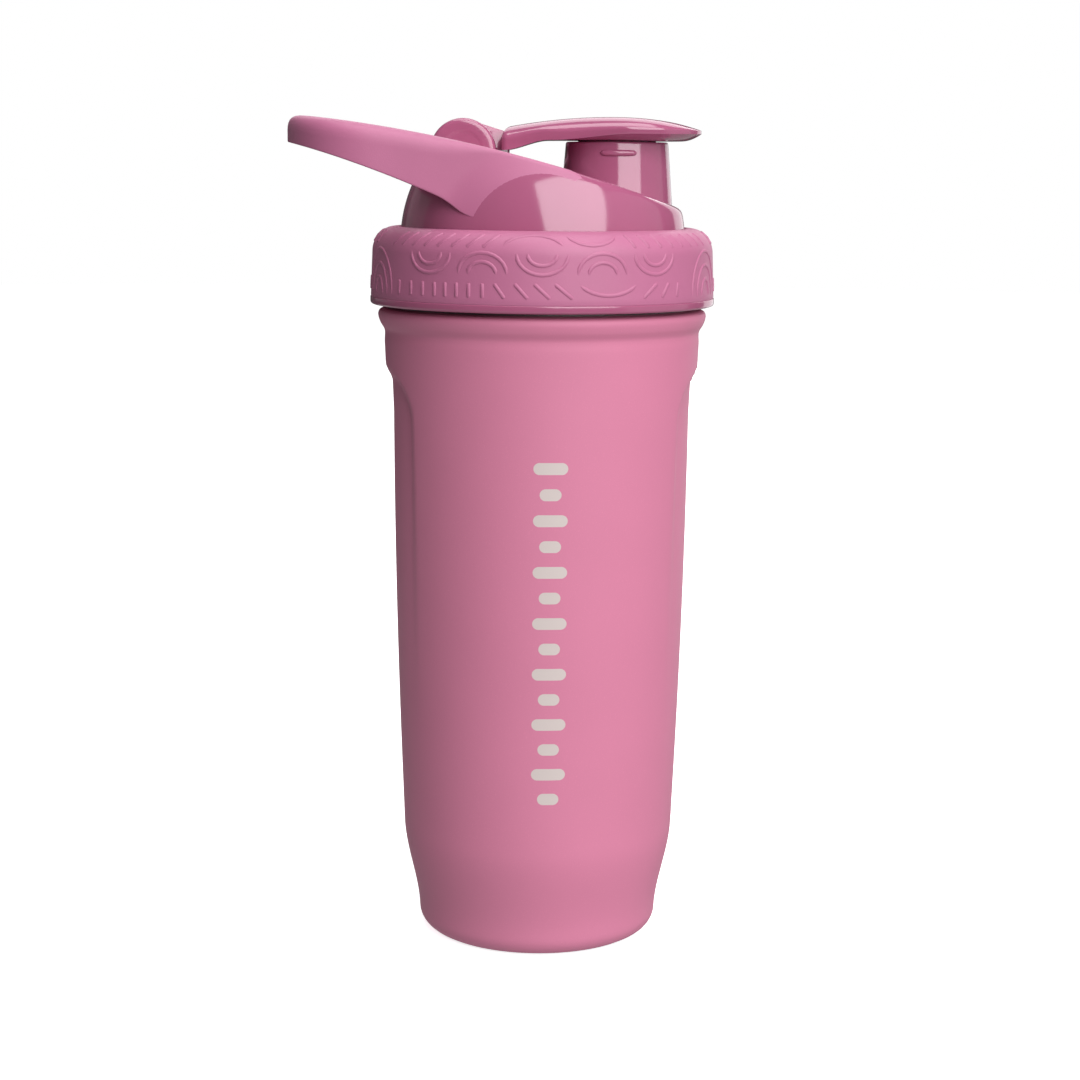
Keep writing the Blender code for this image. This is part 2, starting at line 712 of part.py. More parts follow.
def mesh_holes(radius, low):
    """Square punches on a grid, kept inside the strainer's rim."""
    clear = radius - STRAINER_RIM_WALL - MESH_HOLE
    reach = int(radius / MESH_PITCH)
    punches = bmesh.new()
    for i in range(-reach, reach + 1):
        for j in range(-reach, reach + 1):
            x, y = i * MESH_PITCH, j * MESH_PITCH
            if sqrt(x * x + y * y) < clear:
                place = Matrix.Translation((x, y, low + STRAINER_PLATE / 2))
                size = Matrix.Diagonal((MESH_HOLE, MESH_HOLE, 2 * STRAINER_PLATE, 1))
                bmesh.ops.create_cube(punches, size=1, matrix=place @ size)
    return finish(punches, "punches")


def main():
    clear_scene()
    coat = material("powder_coat", (0.62, 0.26, 0.38), 0.55)
    gloss = material("gloss_plastic", (0.50, 0.17, 0.30), 0.12)
    grip = material("matte_plastic", (0.50, 0.19, 0.32), 0.6)
    silicone = material("silicone", (0.48, 0.20, 0.31), 0.7)
    steel = material("pin_steel", (0.6, 0.6, 0.62), 0.3, 1.0)
    make_cup(coat)
    make_lid(gloss)
    make_ring(grip)
    make_gasket(silicone)
    make_cap(gloss)
    make_seal(silicone)
    make_pin(steel)
    make_strainer(grip)


main()
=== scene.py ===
"""Visual model of a protein shaker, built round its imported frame.

Every length is in metres, in the frame's own coordinates: the origin is on the cup's axis at the
table, +Z is up and +X runs from the carry loop to the spout.
"""

from __future__ import annotations

import logging
import math
from collections.abc import Sequence
from dataclasses import dataclass
from enum import Enum

import bmesh
import bpy
from mathutils import Matrix, Vector

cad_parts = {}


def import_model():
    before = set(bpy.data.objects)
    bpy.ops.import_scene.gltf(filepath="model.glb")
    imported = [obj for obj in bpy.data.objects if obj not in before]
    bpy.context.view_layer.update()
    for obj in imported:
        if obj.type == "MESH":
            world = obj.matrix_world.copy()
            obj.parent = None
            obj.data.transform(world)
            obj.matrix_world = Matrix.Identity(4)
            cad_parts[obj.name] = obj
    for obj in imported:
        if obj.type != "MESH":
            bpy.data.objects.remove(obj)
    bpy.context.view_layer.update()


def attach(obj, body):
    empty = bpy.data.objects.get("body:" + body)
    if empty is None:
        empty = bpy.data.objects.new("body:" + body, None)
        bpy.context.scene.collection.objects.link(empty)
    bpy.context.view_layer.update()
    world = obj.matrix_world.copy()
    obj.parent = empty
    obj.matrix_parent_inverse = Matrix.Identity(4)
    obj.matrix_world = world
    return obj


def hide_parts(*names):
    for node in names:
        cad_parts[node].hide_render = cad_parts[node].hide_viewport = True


MM = 0.001
FULL_TURN = 2 * math.pi
THREAD_PITCH = 5.0 * MM
LOG = logging.getLogger("shaker")

Colour = tuple[float, float, float]
Point2 = tuple[float, float]
Point3 = tuple[float, float, float]


class Body(Enum):
    """The bodies of the frame that pieces ride on."""

    CUP = "cup"
    GASKET = "gasket"
    LID = "lid"
    CAP = "cap"


class Slot(Enum):
    """The record's material slots."""

    COAT = "powder_coat"
    GLOSS = "gloss_plastic"
    MATTE = "matte_plastic"
    SILICONE = "silicone"
    STEEL = "pin_steel"


# Shader graphs


class Value:
    """A number that varies over a surface, held as a node's output socket."""

    def __init__(self, graph: Graph, socket: bpy.types.NodeSocket) -> None:
        """Wraps a socket of a graph.

        Args:
            graph: The graph that new Math nodes are added to.
            socket: The output that carries the number.
        """
        self.graph = graph
        self.socket = socket

    def __add__(self, other: Number) -> Value:
        """Sum."""
        return self.graph.math("ADD", self, other)

    def __radd__(self, other: Number) -> Value:
        """Sum with a plain number first."""
        return self.graph.math("ADD", other, self)

    def __sub__(self, other: Number) -> Value:
        """Difference."""
        return self.graph.math("SUBTRACT", self, other)

    def __mul__(self, other: Number) -> Value:
        """Product."""
        return self.graph.math("MULTIPLY", self, other)

    def __truediv__(self, other: Number) -> Value:
        """Quotient."""
        return self.graph.math("DIVIDE", self, other)

    def __lt__(self, other: Number) -> Value:
        """1 where this is the smaller, else 0."""
        return self.graph.math("LESS_THAN", self, other)

    def __gt__(self, other: Number) -> Value:
        """1 where this is the larger, else 0."""
        return self.graph.math("GREATER_THAN", self, other)

    def __abs__(self) -> Value:
        """Size without its sign."""
        return self.graph.math("ABSOLUTE", self)


Number = Value | float


class Graph:
    """A material's node graph, with one Principled shader."""

    def __init__(self, name: str) -> None:
        """Makes a material that holds only its shader and output.

        Args:
            name: The material's name.
        """
        self.material = bpy.data.materials.new(name)
        self.material.use_nodes = True
        self.shader = self.material.node_tree.nodes["Principled BSDF"]
        self.place = self.node("ShaderNodeTexCoord").outputs["Object"]

    def node(self, kind: str, settings: dict | None = None,
             inputs: dict | None = None) -> bpy.types.Node:
        """Adds one node.

        Args:
            kind: The node's type.
            settings: Its own settings, set first.
            inputs: Values, Values or sockets for its inputs, by name or number.

        Returns:
            The new node.
        """
        made = self.material.node_tree.nodes.new(kind)
        for key, setting in (settings or {}).items():
            setattr(made, key, setting)
        for key, given in (inputs or {}).items():
            self.feed(made.inputs[key], given)
        return made

    def feed(self, socket: bpy.types.NodeSocket, given: object) -> None:
        """Links a socket to a Value or an output, or sets its own value.

        Args:
            socket: The input to feed.
            given: What it gets.
        """
        if isinstance(given, Value):
            given = given.socket
        if isinstance(given, bpy.types.NodeSocket):
            self.material.node_tree.links.new(given, socket)
        else:
            socket.default_value = given

    def math(self, operation: str, first: Number, second: Number = 0.0) -> Value:
        """One Math node.

        Args:
            operation: The node's operation.
            first: The first number.
            second: The second number.

        Returns:
            The result.
        """
        made = self.node("ShaderNodeMath", {"operation": operation}, {0: first, 1: second})
        return Value(self, made.outputs[0])

    def noise(self, size: float, detail: float = 2.0, stretch: Point3 = (1, 1, 1)) -> Value:
        """Noise fixed to the piece.

        Args:
            size: The width of its grains, in metres.
            detail: How many finer layers it has.
            stretch: How much longer its grains are along X, Y and Z.

        Returns:
            The noise, from 0 to 1.
        """
        scale = tuple(1 / s for s in stretch)
        moved = self.node("ShaderNodeMapping", None, {"Vector": self.place, "Scale": scale})
        inputs = {"Vector": moved.outputs[0], "Scale": 1 / size, "Detail": detail}
        return Value(self, self.node("ShaderNodeTexNoise", None, inputs).outputs[0])

    def axes(self) -> tuple[Value, Value, Value]:
        """The place on the piece.

        Returns:
            Its X, Y and Z.
        """
        split = self.node("ShaderNodeSeparateXYZ", None, {0: self.place})
        return tuple(Value(self, out) for out in split.outputs)

    def mix(self, share: Number, low: Colour | bpy.types.NodeSocket,
            high: Colour) -> bpy.types.NodeSocket:
        """A blend of two colours.

        Args:
            share: How much of the second colour shows.
            low: The first colour, or a socket that carries it.
            high: The second colour.

        Returns:
            The socket of the blend.
        """
        low = low if isinstance(low, bpy.types.NodeSocket) else (*low, 1)
        made = self.node("ShaderNodeMix", {"data_type": "RGBA"}, {0: share, 6: low, 7: (*high, 1)})
        return made.outputs[2]

    def bump(self, height: Value, depth: float) -> None:
        """Raises the shader's normal by a height.

        Args:
            height: The height, from 0 to 1.
            depth: The relief of a height of 1, in metres.
        """
        made = self.node("ShaderNodeBump", None, {"Height": height, "Distance": depth, "Strength": 1.0})
        self.feed(self.shader.inputs["Normal"], made.outputs[0])

    def set(self, **values: object) -> None:
        """Feeds the shader's inputs, with underscores for the spaces in their names.

        Args:
            values: What each input gets.
        """
        for name, given in values.items():
            self.feed(self.shader.inputs[name.replace("_", " ")], given)


def tint(colour: Colour, share: float) -> Colour:
    """A darker or lighter version of a colour.

    Args:
        colour: The colour.
        share: What each channel is multiplied by.

    Returns:
        The new colour.
    """
    return tuple(min(1.0, c * share) for c in colour)


@dataclass(frozen=True)
class PrintMark:
    """A plain column of rounded bars, printed on the cup's front."""

    ink: Colour = (0.60, 0.52, 0.50)
    bottom: float = 43.6 * MM
    top: float = 141.6 * MM
    middle: float = 2.7 * MM
    pitch: float = 7.0 * MM
    half_height: float = 1.6 * MM
    long_half: float = 4.6 * MM
    short_half: float = 2.9 * MM

    def mask(self, graph: Graph) -> Value:
        """Where the ink lies.

        Args:
            graph: The coat's graph.

        Returns:
            1 on the ink, else 0.
        """
        x, y, z = graph.axes()
        step = (z - self.bottom) / self.pitch
        row = graph.math("FLOOR", step)
        along = graph.math("ABSOLUTE", (step - row - 0.5) * self.pitch)
        odd = graph.math("MODULO", row, 2.0) > 0.5
        reach = self.short_half + odd * (self.long_half - self.short_half)
        straight = graph.math("MAXIMUM", abs(x - self.middle) - (reach - self.half_height), 0.0)
        distance = graph.math("SQRT", straight * straight + along * along)
        inside = (distance < self.half_height) * (y < 0.0)
        return inside * (z > self.bottom) * (z < self.top)


@dataclass(frozen=True)
class PowderCoat:
    """Matte powder coat on steel: a fine even grain with the slightest mottle."""

    colour: Colour = (0.605, 0.193, 0.312)
    roughness: float = 0.52
    grain: float = 0.28 * MM
    peel: float = 2.2 * MM

    def build(self) -> bpy.types.Material:
        """Makes the material.

        Returns:
            The material.
        """
        graph = Graph("powder_coat_finish")
        fine = graph.noise(self.grain, 3.0)
        broad = graph.noise(self.peel, 1.0)
        cloud = graph.noise(30 * MM, 2.0)
        mark = PrintMark()
        ink = mark.mask(graph)
        coat = graph.mix(cloud, tint(self.colour, 0.96), tint(self.colour, 1.04))
        speck = graph.mix((fine > 0.63) * 0.25, coat, tint(self.colour, 1.25))
        graph.set(Base_Color=graph.mix(ink, speck, mark.ink))
        graph.set(Roughness=self.roughness + fine * 0.12 - ink * 0.1)
        graph.bump(fine * 0.5 + broad * 0.5, 0.03 * MM)
        graph.set(Specular_IOR_Level=0.42)
        return graph.material


@dataclass(frozen=True)
class BareSteel:
    """Drawn stainless steel, with fine lines round the axis."""

    colour: Colour = (0.60, 0.59, 0.57)
    roughness: float = 0.28

    def build(self) -> bpy.types.Material:
        """Makes the material.

        Returns:
            The material.
        """
        graph = Graph("bare_steel_finish")
        lines = graph.noise(0.5 * MM, 2.0, (60, 60, 1))
        cloud = graph.noise(12 * MM)
        graph.set(Base_Color=graph.mix(lines, tint(self.colour, 0.9), tint(self.colour, 1.08)))
        graph.set(Metallic=1.0, Roughness=self.roughness + lines * 0.16 + cloud * 0.06)
        graph.bump(lines, 0.008 * MM)
        return graph.material


@dataclass(frozen=True)
class GlossPlastic:
    """Polished moulded plastic, with a faint flow pattern and hairline rubs."""

    colour: Colour = (0.37, 0.096, 0.188)
    roughness: float = 0.10

    def build(self) -> bpy.types.Material:
        """Makes the material.

        Returns:
            The material.
        """
        graph = Graph("gloss_plastic_finish")
        flow = graph.noise(9 * MM, 3.0, (1, 1, 2.5))
        rub = graph.noise(0.9 * MM, 4.0, (12, 1, 1))
        graph.set(Base_Color=graph.mix(flow, tint(self.colour, 0.95), tint(self.colour, 1.05)))
        graph.set(Roughness=self.roughness + (rub > 0.66) * 0.05 + flow * 0.03)
        graph.bump(flow * 0.8 + rub * 0.2, 0.004 * MM)
        graph.set(Subsurface_Weight=0.04, Subsurface_Radius=(1.0, 0.35, 0.5), Subsurface_Scale=1.5 * MM)
        graph.set(Specular_IOR_Level=0.78)
        return graph.material


@dataclass(frozen=True)
class MattePlastic:
    """Moulded plastic with a fine spark-eroded texture."""

    colour: Colour = (0.46, 0.14, 0.258)
    roughness: float = 0.42
    grain: float = 0.22 * MM

    def build(self) -> bpy.types.Material:
        """Makes the material.

        Returns:
            The material.
        """
        graph = Graph("matte_plastic_finish")
        fine = graph.noise(self.grain, 3.0)
        cloud = graph.noise(14 * MM, 2.0)
        colour = graph.mix(cloud, tint(self.colour, 0.95), tint(self.colour, 1.05))
        graph.set(Base_Color=graph.mix((fine > 0.6) * 0.2, colour, tint(self.colour, 1.2)))
        graph.set(Roughness=self.roughness + fine * 0.14)
        graph.bump(fine, 0.028 * MM)
        graph.set(Specular_IOR_Level=0.5)
        return graph.material


@dataclass(frozen=True)
class Silicone:
    """Soft matte silicone with a dusty bloom."""

    colour: Colour = (0.45, 0.15, 0.25)

    def build(self) -> bpy.types.Material:
        """Makes the material.

        Returns:
            The material.
        """
        graph = Graph("silicone_finish")
        bloom = graph.noise(3 * MM, 4.0)
        fine = graph.noise(0.15 * MM)
        graph.set(Base_Color=graph.mix(bloom, self.colour, tint(self.colour, 1.18)))
        graph.set(Roughness=0.55 + bloom * 0.2)
        graph.bump(fine, 0.01 * MM)
        graph.set(Sheen_Weight=0.15, Subsurface_Weight=0.1, Subsurface_Scale=2 * MM)
        return graph.material


@dataclass(frozen=True)
class PaleFloor:
    """A plain pale studio floor."""

    colour: Colour = (0.86, 0.86, 0.86)
    clear: float = 1.0

    def build(self) -> bpy.types.Material:
        """Makes the material.

        Returns:
            The material.
        """
        graph = Graph("pale_floor_finish")
        fleck = graph.noise(4 * MM, 4.0)
        graph.set(Base_Color=graph.mix(fleck, self.colour, tint(self.colour, 1.03)))
        graph.set(Roughness=0.85, Specular_IOR_Level=0.1, Emission_Strength=1.0)
        x, y, _ = graph.axes()
        away = graph.math("SQRT", x * x + y * y)
        share = graph.math("MINIMUM", away / self.clear, 1.0)
        graph.set(Emission_Color=graph.mix(share, (0.8,) * 3, (1.0,) * 3))
        return graph.material


# Modelling tools


def ease(share: float) -> float:
    """A smooth step from 0 to 1.

    Args:
        share: Where on the step, with anything outside 0 to 1 held at its ends.

    Returns:
        The eased share.
    """
    t = max(0.0, min(1.0, share))
    return t * t * (3 - 2 * t)


def arc(centre: Point2, radius: float, start: float, end: float, steps: int) -> list[Point2]:
    """Points on an arc.

    Args:
        centre: The arc's centre.
        radius: Its radius.
        start: The first point's angle, in degrees.
        end: The last point's angle, in degrees.
        steps: How many pieces the arc has.

    Returns:
        The points.
    """
    angles = [math.radians(start + (end - start) * i / steps) for i in range(steps + 1)]
    return [(centre[0] + radius * math.cos(a), centre[1] + radius * math.sin(a)) for a in angles]


def rounded(corners: Sequence[tuple[float, float, float]], steps: int = 5) -> list[Point2]:
    """A closed outline with each corner rounded.

    Args:
        corners: Each corner's two coordinates and its radius; 0 keeps it sharp.
        steps: How many pieces each rounding has.

    Returns:
        The outline's points.
    """
    made = []
    count = len(corners)
    for i, (x, y, radius) in enumerate(corners):
        here = Vector((x, y))
        if radius <= 0:
            made.append((x, y))
            continue
        before = (Vector(corners[i - 1][:2]) - here).normalized()
        after = (Vector(corners[(i + 1) % count][:2]) - here).normalized()
        half = before.angle(after) / 2
        reach = radius / math.tan(half)
        start, end = here + before * reach, here + after * reach
        for k in range(steps + 1):
            t = k / steps
            curve = start * (1 - t) ** 2 + here * 2 * t * (1 - t) + end * t * t
            made.append((curve.x, curve.y))
    return made


def smooth_line(points: Sequence[Point2], steps: int) -> list[Point2]:
    """A smooth curve through a few points.

    Args:
        points: The points.
        steps: How many pieces each stretch gets.

    Returns:
        The curve's points.
    """
    ends = [points[0], *points, points[-1]]
    made = []
    for i in range(1, len(ends) - 2):
        a, b, c, d = (Vector(p) for p in ends[i - 1 : i + 3])
        for k in range(steps):
            t = k / steps
            bend = 2 * b + (c - a) * t + (2 * a - 5 * b + 4 * c - d) * t**2
            place = (bend + (3 * b - a - 3 * c + d) * t**3) / 2
            made.append((place.x, place.y))
    return [*made, points[-1]]


class Bench:
    """The modelling tools that every sub-assembly uses."""

    @staticmethod
    def clear_selection() -> None:
        """Leaves edit mode and deselects everything."""
        if bpy.context.object and bpy.context.object.mode != "OBJECT":
            bpy.ops.object.mode_set(mode="OBJECT")
        bpy.ops.object.select_all(action="DESELECT")

    @staticmethod
    def take(piece: bpy.types.Object) -> None:
        """Makes one piece the only selected and active one.

        Args:
            piece: The piece.
        """
        Bench.clear_selection()
        piece.select_set(True)
        bpy.context.view_layer.objects.active = piece

    @staticmethod
    def ring(name: str, points: Sequence[Point3]) -> bpy.types.Object:
        """A circle primitive whose points are moved onto a closed outline.

        Args:
            name: The new piece's name.
            points: The outline.

        Returns:
            The piece, in edit mode with everything selected.
        """
        Bench.clear_selection()
        bpy.ops.mesh.primitive_circle_add(vertices=len(points), radius=MM, fill_type="NOTHING")
        piece = bpy.context.object
        piece.name = piece.data.name = name
        for vertex, point in zip(piece.data.vertices, points):
            vertex.co = point
        bpy.ops.object.mode_set(mode="EDIT")
        bpy.ops.mesh.select_all(action="SELECT")
        return piece

    @staticmethod
    def tidy(piece: bpy.types.Object) -> bpy.types.Object:
        """Merges doubles, drops loose edges, turns faces outwards and leaves edit mode.

        Args:
            piece: The piece.

        Returns:
            The same piece.
        """
        Bench.take(piece)
        bpy.ops.object.mode_set(mode="EDIT")
        bpy.ops.mesh.select_all(action="SELECT")
        bpy.ops.mesh.remove_doubles(threshold=0.002 * MM)
        bpy.ops.mesh.delete_loose()
        bpy.ops.mesh.select_all(action="SELECT")
        bpy.ops.mesh.normals_make_consistent(inside=False)
        bpy.ops.object.mode_set(mode="OBJECT")
        return piece

    @staticmethod
    def smooth(piece: bpy.types.Object, angle: float = 38.0) -> bpy.types.Object:
        """Shades a piece smooth, with sharp edges past an angle.

        Args:
            piece: The piece.
            angle: The angle, in degrees.

        Returns:
            The same piece.
        """
        Bench.take(piece)
        bpy.ops.object.shade_smooth_by_angle(angle=math.radians(angle))
        return piece

    @staticmethod
    def lathe(name: str, outline: Sequence[Point2], steps: int = 160) -> bpy.types.Object:
        """Turns a closed outline about Z.

        Args:
            name: The piece's name.
            outline: Its points, as radius and height.
            steps: How many facets go round.

        Returns:
            The turned piece.
        """
        piece = Bench.ring(name, [(r, 0.0, z) for r, z in outline])
        bpy.ops.mesh.spin(steps=steps, angle=FULL_TURN, center=(0, 0, 0), axis=(0, 0, 1))
        return Bench.smooth(Bench.tidy(piece))

    @staticmethod
    def loft(name: str, rings: Sequence[Sequence[Point3]]) -> bpy.types.Object:
        """Extrudes one ring after another and closes both ends.

        Args:
            name: The piece's name.
            rings: Rings with the same number of points each.

        Returns:
            The lofted piece.
        """
        piece = Bench.ring(name, rings[0])
        bpy.ops.mesh.edge_face_add()
        bpy.ops.mesh.select_all(action="SELECT")
        count = len(rings[0])
        for ring in rings[1:]:
            bpy.ops.mesh.extrude_region_move()
            mesh = bmesh.from_edit_mesh(piece.data)
            mesh.verts.ensure_lookup_table()
            for vertex, point in zip(mesh.verts[-count:], ring):
                vertex.co = point
        bmesh.update_edit_mesh(piece.data)
        bpy.ops.object.mode_set(mode="OBJECT")
        return Bench.smooth(Bench.tidy(piece))

    @staticmethod
    def block(name: str, low: Point3, high: Point3) -> bpy.types.Object:
        """A box between two corners.

        Args:
            name: The piece's name.
            low: Its lowest corner.
            high: Its highest corner.

        Returns:
            The piece.
        """
        Bench.clear_selection()
        size, middle = Vector(high) - Vector(low), (Vector(high) + Vector(low)) / 2
        bpy.ops.mesh.primitive_cube_add(size=1)
        piece = bpy.context.object
        piece.name = piece.data.name = name
        piece.data.transform(Matrix.Translation(middle) @ Matrix.Diagonal((*size, 1)))
        return piece

    @staticmethod
    def place(piece: bpy.types.Object, matrix: Matrix) -> bpy.types.Object:
        """Moves a piece's mesh, so that the object stays at the origin.

        Args:
            piece: The piece.
            matrix: The move.

        Returns:
            The same piece.
        """
        piece.data.transform(matrix)
        return piece

    @staticmethod
    def apply(piece: bpy.types.Object, kind: str, **settings: object) -> bpy.types.Object:
        """Adds one modifier and applies it.

        Args:
            piece: The piece.
            kind: The modifier's type.
            settings: The modifier's settings.

        Returns:
            The same piece.
        """
        Bench.take(piece)
        step = piece.modifiers.new(kind.title(), kind)
        for key, setting in settings.items():
            setattr(step, key, setting)
        bpy.ops.object.modifier_apply(modifier=step.name)
        return piece

    @staticmethod
    def cut(piece: bpy.types.Object, tool: bpy.types.Object, keep: bool = False) -> bpy.types.Object:
        """Cuts a tool's shape out of a piece.

        Args:
            piece: The piece.
            tool: The tool, which is removed.
            keep: Keeps only what is inside the tool instead.

        Returns:
            The same piece.
        """
        operation = "INTERSECT" if keep else "DIFFERENCE"
        Bench.apply(piece, "BOOLEAN", operation=operation, object=tool, solver="EXACT")
        bpy.data.objects.remove(tool)
        return Bench.smooth(piece)

    @staticmethod
    def join(name: str, pieces: Sequence[bpy.types.Object]) -> bpy.types.Object:
        """Joins pieces into one object.

        Args:
            name: The joined piece's name.
            pieces: What is joined.

        Returns:
            The joined piece.
        """
        Bench.take(pieces[0])
        for piece in pieces[1:]:
            piece.select_set(True)
        bpy.ops.object.join()
        pieces[0].name = pieces[0].data.name = name
        return pieces[0]

    @staticmethod
    def thread(name: str, side: int, radius: float, start: float, turns: Point2) -> bpy.types.Object:
        """A thread ridge that sinks into its wall at both ends.

        Args:
            name: The piece's name.
            side: 1 where it stands out from its wall, -1 where it stands in.
            radius: The wall's radius.
            start: The helix's height at turn 0.
            turns: Where the ridge starts and ends, in turns.

        Returns:
            The ridge.
        """
        flank = [(-0.3 * MM, -1.25 * MM), (0.75 * MM, -0.7 * MM), (1.1 * MM, -0.3 * MM)]
        flanks = [*flank, *((out, -up) for out, up in reversed(flank))]
        section = [(side * out, up) for out, up in flanks][::side]
        count = 90
        rings = []
        for i in range(count + 1):
            share = i / count
            turn = turns[0] + (turns[1] - turns[0]) * share
            fade = min(1.0, share * 14, (1 - share) * 14)
            angle, rise = turn * FULL_TURN, start + THREAD_PITCH * turn
            places = [(radius + out * fade, rise + up) for out, up in section]
            rings.append([(r * math.cos(angle), r * math.sin(angle), z) for r, z in places])
        return Bench.loft(name, rings)


def dress(piece: bpy.types.Object, finish: bpy.types.Material, slot: Slot, body: Body,
          *nodes: str) -> bpy.types.Object:
    """Gives a piece its finish, its body and the nodes it stands for.

    Args:
        piece: The piece.
        finish: Its material.
        slot: The record's slot that the finish belongs to; not used.
        body: The body it rides on.
        nodes: The frame's nodes that it replaces.

    Returns:
        The same piece.
    """
    if not piece.data.materials:
        piece.data.materials.append(finish)
    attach(piece, body.value)
    if nodes:
        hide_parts(*nodes)
    LOG.info("%s: %d faces on %s", piece.name, len(piece.data.polygons), body.value)
    return piece


# Sub-assemblies


@dataclass
class Cup:
    """The drawn steel cup, powder-coated outside and bare inside."""

    height: float = 177.8 * MM
    wall: float = 0.7 * MM
    waist: float = 43.75 * MM
    waist_height: float = 166.0 * MM
    taper: float = 0.0396
    foot_height: float = 31.0 * MM
    foot_narrowing: float = 3.4 * MM
    foot_fillet: float = 5.4 * MM
    bead: float = 45.65 * MM
    neck: float = 41.4 * MM
    rim_top: float = 193.3 * MM
    rim_thickness: float = 1.5 * MM
    recess: float = 1.2 * MM
    panel_top: float = 162.6 * MM
    panel_arch: float = 14.0 * MM
    panel_bottom: float = 48.0 * MM
    panel_depth: float = 1.75 * MM
    panel_half_angle: float = 33.5
    panel_softness: float = 4.6
    panel_turn: float = 3.0
    thread_start: float = 181.2 * MM
    thread_turns: Point2 = (0.0, 1.4)

    def body_radius(self, z: float) -> float:
        """The wall's outside radius, without the grip panels.

        Args:
            z: The height.

        Returns:
            The radius.
        """
        tapered = self.waist - self.taper * (self.waist_height - z)
        share = (z - self.foot_fillet) / (self.foot_height - self.foot_fillet)
        return tapered - self.foot_narrowing * (1 - ease(share))

    def dent(self, angle: float, z: float) -> float:
        """How far a grip panel pulls the wall in.

        Args:
            angle: The angle round the axis from +X, in radians.
            z: The height.

        Returns:
            The depth.
        """
        if not self.panel_bottom < z < self.panel_top:
            return 0.0
        arch = self.panel_top - self.panel_arch
        share = (z - self.panel_bottom) / (arch - self.panel_bottom)
        if z < arch:
            spread = 1 - 0.12 * (1 - share) ** 2
        else:
            spread = math.sqrt(1 - ((z - arch) / self.panel_arch) ** 2)
        turned = abs(math.remainder(angle - math.radians(self.panel_turn), FULL_TURN))
        off_side = math.degrees(min(turned, math.pi - turned))
        edge = ease((spread * self.panel_half_angle - off_side) / self.panel_softness)
        top = ease((self.panel_top - z) / (5.0 * MM))
        return self.panel_depth * edge * top * min(1.0, share) ** 2

    def outside(self) -> list[Point2]:
        """The outer wall from the axis up to the neck.

        Returns:
            Points as radius and height.
        """
        foot = self.body_radius(self.foot_fillet)
        ring = foot - self.foot_fillet
        base = [
            (0, self.recess), (ring - 8 * MM, self.recess), (ring - 6.6 * MM, self.recess - 0.1 * MM),
            (ring - 5.2 * MM, 0.15 * MM), (ring - 4.4 * MM, 0),
        ]
        corner = arc((ring, self.foot_fillet), self.foot_fillet, -90, 0, 8)
        count = 120
        span = self.waist_height - self.foot_fillet
        wall = [self.foot_fillet + span * i / count for i in range(1, count + 1)]
        body = [(self.body_radius(z), z) for z in wall]
        h, b, w = self.height, self.bead, self.waist
        swell = smooth_line([
            (w, self.waist_height), (w + 0.1 * MM, h - 9.0 * MM), (w + 0.02 * MM, h - 6.9 * MM),
            (w + 0.25 * MM, h - 5.7 * MM), (w + 1.3 * MM, h - 3.9 * MM), (b, h - 1.9 * MM),
            (b - 0.35 * MM, h - 0.6 * MM), (b - 1.5 * MM, h),
        ], 6)
        n = self.neck
        neck = [(n + 1.2 * MM, h), (n + 0.35 * MM, h + 0.35 * MM), (n, h + 1.2 * MM)]
        return [*base, *corner, *body, *swell[1:], *neck]

    def inside(self, outer: Sequence[Point2]) -> list[Point2]:
        """The inner wall, set in by the wall's thickness.

        Args:
            outer: The outer wall's points.

        Returns:
            Points from the neck down to the axis.
        """
        made = []
        for i, (r, z) in enumerate(outer):
            before = Vector(outer[max(0, i - 1)])
            after = Vector(outer[min(len(outer) - 1, i + 1)])
            run = (after - before).normalized()
            r_in = 0.0 if i == 0 else max(0.0, r - run.y * self.wall)
            made.append((r_in, z + run.x * self.wall))
        return made[::-1]

    def build(self, coat: bpy.types.Material, steel: bpy.types.Material) -> None:
        """Makes the cup and its thread.

        Args:
            coat: The outside's finish.
            steel: The inside's finish.
        """
        outer = self.outside()
        half = self.rim_thickness / 2
        curl = arc((self.neck - half, self.rim_top - half), half, 0, 250, 12)
        under_rim = (self.neck, self.rim_top - self.rim_thickness)
        cup = Bench.lathe("cup_wall", [*outer, under_rim, *curl, *self.inside(outer)], 200)
        for vertex in cup.data.vertices:
            x, y, z = vertex.co
            radius = math.hypot(x, y)
            if radius > 30 * MM:
                pulled = 1 - self.dent(math.atan2(y, x), z) / radius
                vertex.co = (x * pulled, y * pulled, z)
        cup.data.materials.append(coat)
        cup.data.materials.append(steel)
        for face in cup.data.polygons:
            middle = face.center
            radial = Vector((middle.x, middle.y, 0))
            inward = radial.dot(face.normal) < 0 and middle.z > 3 * MM
            floor = middle.z < 3 * MM and face.normal.z > 0.2
            face.material_index = 1 if inward or floor or middle.z > self.height + 0.2 * MM else 0
        dress(cup, coat, Slot.COAT, Body.CUP, "steel_cup")
        ridge = Bench.thread("cup_thread", 1, self.neck, self.thread_start, self.thread_turns)
        dress(ridge, steel, Slot.COAT, Body.CUP, "steel_cup")


